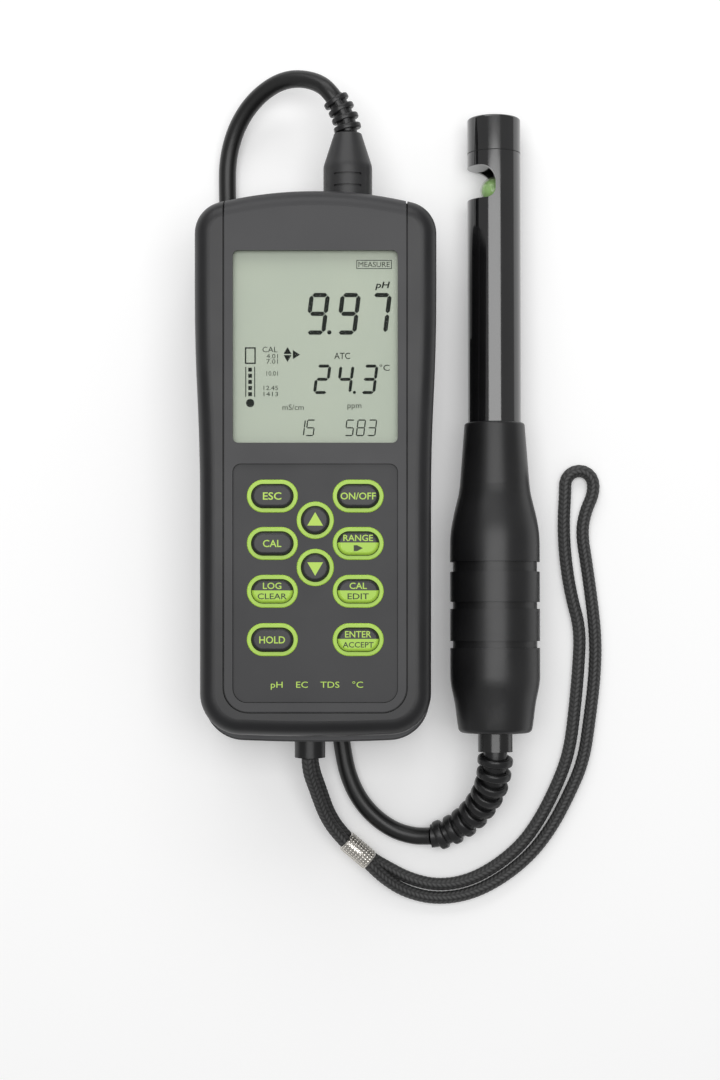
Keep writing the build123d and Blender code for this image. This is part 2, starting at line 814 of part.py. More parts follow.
# Rubber feet
with BuildPart() as feet:
    with BuildSketch(meter_plane(0)) as feet_face:
        with Locations(*foot_places):
            SlotOverall(foot_length, foot_width, rotation=90)
    extrude(amount=rail_z + foot_seat)
save(feet, "feet")

# Battery door, its gasket and its coin lock
with BuildPart() as battery_door:
    extrude(door_outline(door_z, 0), amount=door_thickness)
    with BuildSketch(meter_plane(door_z)) as lock_seat:
        with Locations((bay_x, lock_y)):
            Circle(lock_d / 2 + lock_fit)
    extrude(amount=lock_head, mode=Mode.SUBTRACT)
    with BuildSketch(meter_plane(door_z)) as lock_hole:
        with Locations((bay_x, lock_y)):
            Circle(lock_shaft_d / 2 + lock_fit)
    extrude(amount=door_thickness, mode=Mode.SUBTRACT)
    with BuildSketch(meter_plane(door_z)) as ribs:
        with Locations((bay_x, bay_y)):
            with GridLocations(0, door_rib_pitch, 1, door_rib_count):
                SlotOverall(door_rib_length, door_rib_width)
    extrude(amount=door_rib_depth, mode=Mode.SUBTRACT)
save(battery_door, "battery_door")

with BuildPart() as door_gasket:
    with BuildSketch(meter_plane(door_top_z)) as gasket_face:
        with Locations((bay_x, bay_y)):
            RectangleRounded(door_width, door_length, window_r + door_edge_gap)
            Rectangle(bay_width, bay_length, mode=Mode.SUBTRACT)
    extrude(amount=door_gasket_thickness)
save(door_gasket, "door_gasket")

with BuildPart() as door_lock:
    with BuildSketch(meter_plane(door_z)) as lock_face:
        with Locations((bay_x, lock_y)):
            Circle(lock_d / 2)
    extrude(amount=lock_head - lock_lift)
    with BuildSketch(meter_plane(door_z + lock_head - lock_lift)) as lock_shaft:
        with Locations((bay_x, lock_y)):
            Circle(lock_shaft_d / 2)
    extrude(amount=cam_z - door_z - lock_head + lock_lift)
    with BuildSketch(meter_plane(cam_z)) as cam:
        with Locations((bay_x, lock_y)):
            SlotOverall(cam_length, cam_width)
    extrude(amount=cam_thickness)
    with BuildSketch(meter_plane(door_z)) as coin_slot:
        with Locations((bay_x, lock_y)):
            Rectangle(lock_d - 2 * coin_slot_margin, coin_slot_width)
    extrude(amount=coin_slot_depth, mode=Mode.SUBTRACT)
save(door_lock, "door_lock")

# Three cells and their contacts
cell_z = door_top_z + bay_side_gap + cell_d / 2
cell_offsets = [(i - (cell_count - 1) / 2) * cell_pitch for i in range(cell_count)]
cell_low_y = bay_y - (cell_length + cell_nub) / 2
with BuildPart() as batteries:
    for offset_x in cell_offsets:
        with BuildSketch(meter_end_plane(cell_low_y)) as cell:
            with Locations((-bay_x - offset_x, cell_z)):
                Circle(cell_d / 2)
        extrude(amount=cell_length)
        with BuildSketch(meter_end_plane(cell_low_y + cell_length)) as nub_face:
            with Locations((-bay_x - offset_x, cell_z)):
                Circle(cell_nub_d / 2)
        extrude(amount=cell_nub)
save(batteries, "batteries")

contact_reach = contact_gap - cell_contact_gap
with BuildPart() as battery_contacts:
    for offset_x in cell_offsets:
        for end in (-1, 1):
            wall_y = bay_y + end * bay_length / 2
            with BuildSketch(meter_end_plane(wall_y)) as plate:
                with Locations((-bay_x - offset_x, cell_z)):
                    Rectangle(cell_plate, cell_plate)
            extrude(amount=-end * leaf_thickness)
            leaf_plane = Plane(origin=(meter_x + bay_x + offset_x - leaf_width / 2, meter_y + wall_y, cell_z),
                               x_dir=(0, -end, 0), z_dir=(1, 0, 0))
            drop, tip = leaf_drop * end, leaf_tip * end
            leaf_back = contact_reach - leaf_slope * leaf_thickness
            with BuildSketch(leaf_plane) as leaf:
                with BuildLine():
                    Polyline((0, drop), (leaf_thickness, drop), (contact_reach, tip), (contact_reach, -tip),
                             (leaf_back, -tip), (leaf_back, leaf_bend * tip), (0, leaf_root * drop), close=True)
                make_face()
            extrude(amount=leaf_width)
save(battery_contacts, "battery_contacts")

# Connector socket at the display end
socket_front_y = socket_face_y + nose_reach
socket_bore_d = nose_d - 2 * nose_wall
socket_back_y = saddle_y - nut_length
insert_face_y = socket_face_y - insert_set_back
pin_places = [(0, 0)] + [
    (pin_circle_r * math.cos(2 * math.pi * i / pin_count), pin_circle_r * math.sin(2 * math.pi * i / pin_count))
    for i in range(pin_count)
]


def socket_plane(y):
    """An upright plane across the connector's axis, facing the display end."""
    return Plane(origin=(meter_x + socket_x, meter_y + y, socket_z), x_dir=(-1, 0, 0), z_dir=(0, 1, 0))


with BuildPart() as socket_shell:
    with BuildSketch(socket_plane(socket_back_y)) as nose:
        Circle(nose_d / 2)
    extrude(amount=socket_front_y - socket_back_y)
    chamfer(socket_shell.faces().sort_by(Axis.Y)[-1].edges(), nose_chamfer)
    with BuildSketch(socket_plane(socket_face_y - socket_flange)) as rim_face:
        Circle(socket_flange_d / 2)
    extrude(amount=socket_flange)
    with BuildSketch(socket_plane(socket_back_y)) as bore_face:
        Circle(socket_bore_d / 2)
    extrude(amount=socket_front_y - socket_back_y, mode=Mode.SUBTRACT)
save(socket_shell, "socket_shell")

contact_length = pin_reach + contact_tail
with BuildPart() as socket_insert:
    with BuildSketch(socket_plane(socket_back_y)) as insert_face:
        Circle(socket_bore_d / 2)
    extrude(amount=insert_face_y - socket_back_y)
    with BuildSketch(socket_plane(insert_face_y - contact_length)) as contact_holes:
        with Locations(*pin_places):
            Circle(pin_d / 2 + fit_gap + contact_wall)
    extrude(amount=contact_length, mode=Mode.SUBTRACT)
save(socket_insert, "socket_insert")

with BuildPart() as socket_contacts:
    with BuildSketch(socket_plane(insert_face_y - contact_length)) as contact_face:
        with Locations(*pin_places):
            Circle(pin_d / 2 + fit_gap + contact_wall)
    extrude(amount=contact_length)
    with BuildSketch(socket_plane(insert_face_y - contact_length + contact_floor)) as contact_bores:
        with Locations(*pin_places):
            Circle(pin_d / 2 + fit_gap)
    extrude(amount=contact_length - contact_floor, mode=Mode.SUBTRACT)
save(socket_contacts, "socket_contacts")

with BuildPart() as socket_nut:
    with BuildSketch(socket_plane(socket_back_y)) as nut_face:
        RegularPolygon(nut_d / 2, 6)
        Circle(nose_d / 2 + thread_gap, mode=Mode.SUBTRACT)
    extrude(amount=nut_length)
save(socket_nut, "socket_nut")

with BuildPart() as socket_seal:
    with BuildSketch(socket_plane(seal_y)) as seal_face:
        Circle(socket_flange_d / 2)
        Circle(nose_d / 2 + thread_gap, mode=Mode.SUBTRACT)
    extrude(amount=seal_thickness)
save(socket_seal, "socket_seal")

# Probe plug
plug_y = socket_face_y + plug_seat_gap
plug_shoulder_y = plug_y + plug_body
plug_end_y = plug_shoulder_y + plug_cone
skirt_depth = nose_reach + skirt_gap
plug_insert_d = socket_bore_d - 2 * fit_gap
plug_face_y = insert_face_y + plug_face_gap
plug_insert_end_y = plug_y + skirt_depth + plug_insert_hold
plug_side = Plane(origin=(meter_x + socket_x, meter_y, socket_z))
plug_axis = Axis((meter_x + socket_x, meter_y, socket_z), (0, 1, 0))
with BuildPart() as plug_cover:
    with BuildSketch(plug_side) as plug_profile:
        with BuildLine():
            Line((0, plug_y), (plug_d / 2, plug_y))
            Line((plug_d / 2, plug_y), (plug_d / 2, plug_shoulder_y))
            Line((plug_d / 2, plug_shoulder_y), (plug_end_d / 2, plug_end_y))
            Line((plug_end_d / 2, plug_end_y), (0, plug_end_y))
            Line((0, plug_end_y), (0, plug_y))
        make_face()
        fillet(plug_profile.vertices().filter_by(lambda v: v.X > 1).sort_by(Axis.Y)[-1], plug_end_round)
        fillet(plug_profile.vertices().filter_by(lambda v: abs(v.Y - plug_shoulder_y) < 0.01),
               plug_shoulder_round)
    revolve(axis=plug_axis)
    with BuildSketch(socket_plane(plug_y)) as skirt_bore:
        Circle(nose_d / 2 + fit_gap)
    extrude(amount=skirt_depth, mode=Mode.SUBTRACT)
    with BuildSketch(socket_plane(plug_y + skirt_depth)) as insert_bore:
        Circle(plug_insert_d / 2)
    extrude(amount=plug_insert_hold, mode=Mode.SUBTRACT)
    # Two shallow finger grooves over the top and under the bottom of the cover
    for y in grip_slots_y:
        with BuildSketch(socket_plane(plug_y + y)) as slot:
            Circle(plug_d / 2 + plug_recess_grow)
            Circle(plug_d / 2 - grip_slot_depth, mode=Mode.SUBTRACT)
            Rectangle(grip_slot_length, 2 * plug_d, mode=Mode.INTERSECT)
        extrude(amount=grip_slot_width, mode=Mode.SUBTRACT)
save(plug_cover, "plug_cover")

with BuildPart() as plug_insert:
    with BuildSketch(socket_plane(plug_face_y)) as plug_insert_face:
        Circle(plug_insert_d / 2)
        with Locations(*pin_places):
            Circle(pin_d / 2, mode=Mode.SUBTRACT)
    extrude(amount=plug_insert_end_y - plug_face_y)
save(plug_insert, "plug_insert")

with BuildPart() as plug_pins:
    with BuildSketch(socket_plane(plug_face_y - pin_reach)) as pins_face:
        with Locations(*pin_places):
            Circle(pin_d / 2)
    extrude(amount=pin_reach + plug_insert_end_y - plug_face_y)
save(plug_pins, "plug_pins")

strap_low = strap_d / 2
# Probe cable: out of the plug's relief, over in an arch, under the meter and round to the handle
cable_points = [
    (-13.3, 123.4, 25.0), (-15.6, 126.6, 25.0), (-19.4, 129.6, 22.8), (-24.4, 131.5, 20.2), (-30.0, 132.0, 17.7),
    (-35.9, 130.5, 15.0), (-42.0, 126.7, 11.8), (-47.2, 121.2, 8.8), (-51.3, 113.9, 6.0), (-53.9, 104.2, 4.0),
    (-54.1, 93.8, cable_z), (-53.6, 76.8, cable_z), (-52.4, 48.8, cable_z), (-46.8, 18.8, cable_z),
    (-37.2, -13.2, cable_z), (-26.9, -47.2, cable_z), (-18.1, -79.2, cable_z), (-12.2, -104.2, cable_z),
    (-10.1, -120.8, cable_z), (-8.1, -129.4, cable_z), (-4.3, -137.7, cable_z), (1.6, -144.7, cable_z),
    (9.0, -149.8, cable_z), (16.1, -151.8, cable_z + 0.7), (20.7, -151.9, cable_z + 1.5), (23.1, -151.7, 5.5),
]
# Braided strap cord: doubled, both ends in the ferrule, folded at its far end
strap_points = [
    (-23.2, -120.7, 19.4), (-23.1, -125.3, 18.9), (-20.7, -132.4, 15.7), (-16.4, -145.0, 10.7),
    (-9.3, -153.9, 8.4), (-0.8, -161.3, 8.1), (5.0, -167.3, 6.1), (13.1, -172.9, 3.6), (24.5, -176.0, strap_low),
    (37.2, -174.5, strap_low), (49.2, -168.8, strap_low), (60.7, -159.7, strap_low), (68.9, -149.1, strap_low),
    (75.6, -136.4, strap_low), (81.2, -123.5, strap_low), (83.6, -106.5, strap_low), (85.3, -92.1, strap_low),
    (85.8, -77.6, strap_low), (84.2, -62.5, strap_low), (82.2, -48.4, strap_low), (80.4, -37.0, strap_low),
    (81.8, -29.0, strap_low), (84.85, -22.3, strap_low), (84.85, -16.7, strap_low), (81.7, -13.55, strap_low),
    (77.3, -13.55, strap_low), (74.15, -16.7, strap_low), (74.15, -22.4, strap_low), (73.5, -33.0, strap_low),
    (74.1, -46.0, strap_low), (76.3, -60.5, strap_low), (79.9, -73.5, strap_low), (79.2, -88.5, strap_low),
    (77.8, -104.0, strap_low), (75.8, -120.0, strap_low), (71.2, -132.6, strap_low), (64.3, -146.2, strap_low),
    (57.0, -156.1, strap_low), (46.5, -164.5, strap_low), (35.7, -169.6, strap_low), (24.9, -170.8, strap_low),
    (15.0, -168.3, strap_low), (7.1, -164.2, 2.5), (0.1, -160.1, 3.1), (-8.4, -153.0, 3.4), (-15.1, -144.3, 5.5),
    (-19.1, -131.9, 10.3), (-21.4, -124.9, 13.4), (-21.7, -120.7, 14.6),
]


def corner_radii(points, name):
    """The radius for each corner of a route: 0.45 of its shorter run over the tangent of half the turn."""
    places = [Vector(*p) for p in points]
    radii = []
    for before, corner, after in zip(places, places[1:], places[2:]):
        run_in, run_out = corner - before, after - corner
        half_turn = math.radians(run_in.get_angle(run_out)) / 2
        radii.append(0.45 * min(run_in.length, run_out.length) / math.tan(half_turn))
    print(name, "radii", [round(r, 1) for r in radii])
    return radii


def route(points, name):
    """A path of straight runs joined by tangent arcs."""
    return FilletPolyline(*points, radius=corner_radii(points, name))


def cord_tube(points, diameter, name):
    """A round cord along its route."""
    with BuildPart() as tube:
        with BuildLine() as path:
            route(points, name)
        line = path.wires()[0]
        with BuildSketch(Plane(origin=line @ 0, z_dir=line % 0)):
            Circle(diameter / 2)
        sweep(path=line)
    section = math.pi * diameter ** 2 / 4
    print(name, "length", round(line.length, 1), "volume over section times length",
          round(tube.part.volume / (section * line.length), 4))
    return tube


probe_cable = cord_tube(cable_points, cable_d, "probe_cable")
save(probe_cable, "probe_cable")
strap_cord = cord_tube(strap_points, strap_d, "strap_cord")
save(strap_cord, "strap_cord")


def ribbed_relief(points, name, core_d, rib_diameters, rib_starts, rib_length):
    """A bent flex relief: a core along its route with round ribs across it."""
    with BuildPart() as relief:
        with BuildLine() as path:
            route(points, name)
        line = path.wires()[0]
        with BuildSketch(Plane(origin=line @ 0, z_dir=line % 0)):
            Circle(core_d / 2)
        sweep(path=line)
        for rib_d, start in zip(rib_diameters, rib_starts):
            middle = (start + rib_length / 2) / line.length
            centre, along = line @ middle, line % middle
            with BuildSketch(Plane(origin=centre - along * (rib_length / 2), z_dir=along)) as rib:
                Circle(rib_d / 2)
            extrude(amount=rib_length)
    print(name, "length", round(line.length, 1))
    return relief


# Plug relief: bends left from the cover's end to the cable
plug_relief_start = (meter_x + socket_x, meter_y + plug_end_y, socket_z)
cable_start = Vector(*cable_points[0])
cable_out = (Vector(*cable_points[1]) - cable_start).normalized()
plug_relief_bend = cable_start - cable_out * ((plug_relief_start[0] - cable_start.X) / -cable_out.X)
plug_relief_points = [plug_relief_start, tuple(plug_relief_bend), tuple(cable_start)]
plug_relief = ribbed_relief(
    plug_relief_points, "plug_relief", plug_relief_core_d, [plug_relief_rib_d] * plug_relief_count,
    [plug_relief_lead + plug_relief_pitch * i for i in range(plug_relief_count)], plug_relief_rib)
save(plug_relief, "plug_relief")

# Handle relief: from the gland, tilted as the probe is, round and down to the cable
gland_face = probe_origin - Vector(*axis_dir) * gland_length
cable_end = Vector(*cable_points[-1])
cable_in = (cable_end - Vector(*cable_points[-2])).normalized()
relief_points = [
    tuple(gland_face), tuple(gland_face - Vector(*axis_dir) * relief_straight), (46.0, -127.4, 18.6),
    (44.9, -132.8, 15.9), (42.5, -137.8, 12.7), (39.2, -142.7, 9.8), (34.8, -146.9, 7.6), (30.1, -149.9, 6.2),
    tuple(cable_end + cable_in * relief_meet), tuple(cable_end),
]
handle_relief = ribbed_relief(
    relief_points, "handle_relief", relief_core_d,
    [relief_d_first + (relief_d_last - relief_d_first) * i / (relief_count - 1) for i in range(relief_count)],
    [relief_lead + relief_pitch * i for i in range(relief_count)], relief_rib)
save(handle_relief, "handle_relief")

# Cable gland on the handle
with BuildPart() as cable_gland:
    with BuildSketch(probe_section(-gland_length)) as gland_face_sketch:
        Circle(gland_d / 2)
    extrude(amount=gland_length)
    with BuildSketch(probe_section(0)) as gland_stem_face:
        Circle(gland_stem_d / 2)
    extrude(amount=gland_stem)
save(cable_gland, "cable_gland")

# Probe handle
tube_r = tube_d / 2
tube_bore_r = tube_r - tube_wall
cavity_r = tube_r - handle_bore_step
neck_length, neck_drop = handle_knee_u - handle_shoulder_u, handle_r - handle_knee_r
neck_points = [(handle_r - drop * neck_drop, handle_shoulder_u + share * neck_length) for share, drop in handle_neck]
with BuildPart() as probe_handle:
    with BuildSketch(probe_side) as handle_profile:
        with BuildLine():
            Line((0, 0), (handle_rear_r, 0))
            Spline((handle_rear_r, 0), (handle_r - handle_rise_drop, handle_wide_u * handle_rise),
                   (handle_r, handle_wide_u),
                   tangents=((0.25, 1), (0, 1)))
            Line((handle_r, handle_wide_u), (handle_r, handle_shoulder_u))
            Spline((handle_r, handle_shoulder_u), *neck_points, (handle_knee_r, handle_knee_u),
                   tangents=((0, 1), (-0.12, 1)))
            Line((handle_knee_r, handle_knee_u), (handle_front_r, handle_length))
            Line((handle_front_r, handle_length), (0, handle_length))
            Line((0, handle_length), (0, 0))
        make_face()
        fillet(handle_profile.vertices().filter_by(lambda v: v.X > 1).sort_by(Axis.Y)[-1],
               handle_front_round)
        fillet(handle_profile.vertices().filter_by(lambda v: v.X > 1).sort_by(Axis.Y)[0], handle_rear_round)
    revolve(axis=probe_axis)
    with BuildSketch(probe_side) as groove_cuts:
        for share, width in handle_grooves:
            with Locations((handle_r, share * handle_length)):
                Rectangle(2 * handle_groove_depth, width)
    revolve(axis=probe_axis, mode=Mode.SUBTRACT)
    with BuildSketch(probe_section(handle_floor)) as cavity:
        Circle(cavity_r)
    extrude(amount=tube_seat_u - handle_floor, mode=Mode.SUBTRACT)
    with BuildSketch(probe_section(tube_seat_u)) as tube_seat:
        Circle(tube_r)
    extrude(amount=handle_length - tube_seat_u, mode=Mode.SUBTRACT)
    with BuildSketch(probe_section(0)) as gland_hole:
        Circle(gland_stem_d / 2)
    extrude(amount=handle_floor, mode=Mode.SUBTRACT)
    with BuildSketch(probe_section(ring_seal_u)) as seal_groove:
        Circle(tube_r + ring_seal_section / 2)
    extrude(amount=ring_seal_section, mode=Mode.SUBTRACT)
save(probe_handle, "probe_handle")

with BuildPart() as tube_seal:
    with BuildSketch(probe_section(ring_seal_u)) as tube_seal_face:
        Circle(tube_r + ring_seal_section / 2)
        Circle(tube_r, mode=Mode.SUBTRACT)
    extrude(amount=ring_seal_section)
save(tube_seal, "tube_seal")

# Probe tube with the open slot round the bulb, and a spigot for the cap
spigot_r = tube_r - tube_wall - spigot_step
with BuildPart() as probe_tube:
    with BuildSketch(probe_section(tube_seat_u)) as tube_face:
        Circle(tube_r)
    extrude(amount=cap_seam_u - tube_seat_u)
    with BuildSketch(probe_section(cap_seam_u)) as spigot_face:
        Circle(spigot_r)
    extrude(amount=spigot_length)
    with BuildSketch(probe_section(tube_seat_u)) as tube_bore:
        Circle(tube_bore_r)
    extrude(amount=slot_high_u - tube_seat_u, mode=Mode.SUBTRACT)
    slot_middle = (slot_low_u + slot_high_u) / 2
    with BuildSketch(probe_side) as slot_face:
        with Locations((-tube_r, slot_middle)):
            Rectangle(2 * tube_r, slot_high_u - slot_low_u)
        inner = slot_face.vertices().group_by(Axis.X)[-1].sort_by(Axis.Y)
        fillet(inner[-1], slot_upper_r)
        inner = slot_face.vertices().group_by(Axis.X)[-1].sort_by(Axis.Y)
        fillet(inner[0], slot_lower_r)
    extrude(amount=tube_r, both=True, mode=Mode.SUBTRACT)
save(probe_tube, "probe_tube")

# Tip cap
with BuildPart() as tip_cap:
    with BuildSketch(probe_section(cap_seam_u)) as cap_face:
        Circle(tube_r)
    extrude(amount=cap_length)
    fillet(tip_cap.faces().sort_by(Axis.Y)[-1].edges(), cap_round)
    with BuildSketch(probe_section(cap_seam_u)) as cap_bore:
        Circle(spigot_r + spigot_gap)
    extrude(amount=cap_length - cap_floor, mode=Mode.SUBTRACT)
save(tip_cap, "tip_cap")

# Inside the probe tube
holder_u = slot_low_u - holder_length
sensor_place = (-sensor_circle_r, 0)
ec_places = [(-sensor_circle_r * math.cos(math.radians(ec_pin_angle)),
              side * sensor_circle_r * math.sin(math.radians(ec_pin_angle))) for side in (-1, 1)]
with BuildPart() as electrode_holder:
    with BuildSketch(probe_section(holder_u)) as holder_face:
        Circle(tube_bore_r)
        Circle(stem_d / 2, mode=Mode.SUBTRACT)
        with Locations(sensor_place):
            Circle(sensor_d / 2, mode=Mode.SUBTRACT)
        with Locations(*ec_places):
            Circle(ec_pin_d / 2, mode=Mode.SUBTRACT)
    extrude(amount=holder_length)
save(electrode_holder, "electrode_holder")

bulb_u = bulb_top_u - bulb_r
stem_r = stem_d / 2
neck_u = bulb_u - math.sqrt(bulb_r ** 2 - stem_r ** 2)
inner_r = bulb_r - bulb_wall
stem_bore_r = stem_r - 2 * bulb_wall
inner_neck_u = bulb_u - math.sqrt(inner_r ** 2 - stem_bore_r ** 2)
with BuildPart() as ph_stem:
    with BuildSketch(probe_section(slot_low_u - stem_length)) as stem_face:
        Circle(stem_r)
        Circle(stem_bore_r, mode=Mode.SUBTRACT)
    extrude(amount=stem_length)
save(ph_stem, "ph_stem")

with BuildPart() as ph_bulb:
    with BuildSketch(probe_side) as bulb_profile:
        with BuildLine():
            Line((stem_bore_r, slot_low_u), (stem_r, slot_low_u))
            Line((stem_r, slot_low_u), (stem_r, neck_u))
            ThreePointArc((stem_r, neck_u), (bulb_r, bulb_u), (0, bulb_top_u))
            Line((0, bulb_top_u), (0, bulb_top_u - bulb_wall))
            ThreePointArc((0, bulb_top_u - bulb_wall), (inner_r, bulb_u), (stem_bore_r, inner_neck_u))
            Line((stem_bore_r, inner_neck_u), (stem_bore_r, slot_low_u))
        make_face()
    revolve(axis=probe_axis)
save(ph_bulb, "ph_bulb")

with BuildPart() as ph_wire:
    with BuildSketch(probe_section(slot_low_u - stem_length)) as wire_face:
        Circle(wire_d / 2)
    extrude(amount=stem_length + wire_reach)
    with BuildSketch(probe_section(slot_low_u - stem_length)) as wire_plug:
        Circle(stem_bore_r)
    extrude(amount=stem_plug)
save(ph_wire, "ph_wire")

with BuildPart() as temperature_sensor:
    with BuildSketch(probe_section(holder_u - sensor_tail)) as sensor_face:
        with Locations(sensor_place):
            Circle(sensor_d / 2)
    extrude(amount=holder_length + sensor_tail + sensor_reach)
    fillet(temperature_sensor.faces().sort_by(Axis.Y)[-1].edges(), sensor_round)
save(temperature_sensor, "temperature_sensor")

with BuildPart() as ec_pins:
    with BuildSketch(probe_section(holder_u - sensor_tail)) as ec_face:
        with Locations(*ec_places):
            Circle(ec_pin_d / 2)
    extrude(amount=holder_length + sensor_tail + sensor_reach)
save(ec_pins, "ec_pins")

probe_board_width = 2 * (cavity_r - probe_board_gap / 2)
probe_board_plane = Plane(origin=probe_origin - Vector(*up_dir) * (board_thickness / 2), x_dir=(1, 0, 0),
                          z_dir=up_dir)
with BuildPart() as probe_board:
    with BuildSketch(probe_board_plane) as probe_board_face:
        with Locations((0, probe_board_u + probe_board_length / 2)):
            Rectangle(probe_board_width, probe_board_length)
    extrude(amount=board_thickness)
    with BuildSketch(probe_board_plane.offset(board_thickness)) as probe_chips:
        with Locations(*[(x, probe_board_u + share * probe_board_length) for x, share in chip_shares]):
            Rectangle(chip_width, chip_length)
    extrude(amount=chip_height)
save(probe_board, "probe_board")

# Strap fitting
ferrule_out_y = -meter_length / 2 - collar_reach
strap_wall_y = -meter_length / 2 + back_wall
with BuildPart() as strap_collar:
    with BuildSketch(meter_end_plane(ferrule_out_y)) as collar_face:
        with Locations((-strap_x, strap_z)):
            Circle(collar_d / 2)
            Circle(ferrule_d / 2, mode=Mode.SUBTRACT)
    extrude(amount=collar_reach + bottom_bulge)
    add(back_shell.part, mode=Mode.SUBTRACT)
save(strap_collar, "strap_collar")

with BuildPart() as strap_ferrule:
    with BuildSketch(meter_end_plane(ferrule_out_y)) as ferrule_face:
        with Locations((-strap_x, strap_z)):
            Circle(ferrule_d / 2)
    extrude(amount=strap_wall_y - ferrule_out_y)
    with BuildSketch(meter_end_plane(strap_wall_y)) as ferrule_head:
        with Locations((-strap_x, strap_z)):
            Circle(ferrule_flange_d / 2)
    extrude(amount=ferrule_flange)
save(strap_ferrule, "strap_ferrule")

# Crimp that squeezes the two strands together
crimp_outer = Vector(*strap_points[4])
crimp_inner = Vector(*strap_points[-5])
crimp_start = (crimp_outer + crimp_inner) / 2
crimp_end = (Vector(*strap_points[5]) + Vector(*strap_points[-6])) / 2
crimp_along = (crimp_end - crimp_start).normalized()
crimp_centre = (crimp_start + crimp_end) / 2
crimp_up = crimp_along.cross(crimp_outer - crimp_inner).cross(crimp_along).normalized()
crimp_plane = Plane(origin=crimp_centre - crimp_along * (crimp_length / 2), x_dir=crimp_up, z_dir=crimp_along)
with BuildPart() as strap_crimp:
    with BuildSketch(crimp_plane) as crimp_face:
        SlotOverall(crimp_height, crimp_width)
        SlotOverall(strand_spacing + strap_d - crimp_bite, strap_d - crimp_bite, mode=Mode.SUBTRACT)
    extrude(amount=crimp_length)
save(strap_crimp, "strap_crimp")
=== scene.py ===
"""A hand-held water quality meter with its probe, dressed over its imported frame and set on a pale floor."""

import json
import logging
import math
from collections.abc import Iterable, Sequence
from dataclasses import dataclass, field
from enum import Enum

import bmesh
import bpy
from bpy.types import Material, Mesh, Node, NodeSocket, NodeTree, Object
from mathutils import Matrix, Vector


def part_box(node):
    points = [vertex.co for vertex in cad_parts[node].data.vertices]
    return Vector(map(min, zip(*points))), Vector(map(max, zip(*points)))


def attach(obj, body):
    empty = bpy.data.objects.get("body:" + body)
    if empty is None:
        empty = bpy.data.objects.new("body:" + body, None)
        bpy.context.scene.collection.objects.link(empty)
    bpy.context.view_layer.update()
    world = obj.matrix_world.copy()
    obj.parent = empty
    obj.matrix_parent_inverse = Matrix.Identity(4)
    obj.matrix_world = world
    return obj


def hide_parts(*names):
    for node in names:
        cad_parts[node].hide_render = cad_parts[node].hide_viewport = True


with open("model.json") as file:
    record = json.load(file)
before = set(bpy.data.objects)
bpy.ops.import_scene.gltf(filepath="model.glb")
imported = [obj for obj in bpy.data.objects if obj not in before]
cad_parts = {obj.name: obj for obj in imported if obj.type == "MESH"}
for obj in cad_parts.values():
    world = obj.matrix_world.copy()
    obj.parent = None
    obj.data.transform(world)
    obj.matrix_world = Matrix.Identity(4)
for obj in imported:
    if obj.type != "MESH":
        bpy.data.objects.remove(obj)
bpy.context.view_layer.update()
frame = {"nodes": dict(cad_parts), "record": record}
LOG = logging.getLogger("meter_scene")
MM = 0.001
WHITE = (1.0, 1.0, 1.0, 1.0)
UP = Vector((0.0, 0.0, 1.0))

Point = tuple[float, float, float]
Flat = tuple[float, float]


class Body(str, Enum):
    """The moving bodies that pieces ride on."""

    METER = "meter"
    LEAD = "probe_lead"
    CAP = "tip_cap_body"


class Legend(Enum):
    """How a key's head is printed."""

    PLAIN = "one word on a dark head"
    SPLIT = "two words on a head with a bright lower half"
    UP = "an arrow that points up"
    DOWN = "an arrow that points down"


def linear(colour: str) -> tuple[float, float, float, float]:
    """Turns a hex colour into the linear values that shaders take.

    Args:
        colour: six hex digits after a hash.

    Returns:
        Linear red, green, blue and an alpha of one.
    """
    parts = [int(colour[i:i + 2], 16) / 255 for i in (1, 3, 5)]
    values = [p / 12.92 if p <= 0.04045 else ((p + 0.055) / 1.055) ** 2.4 for p in parts]
    return values[0], values[1], values[2], 1.0


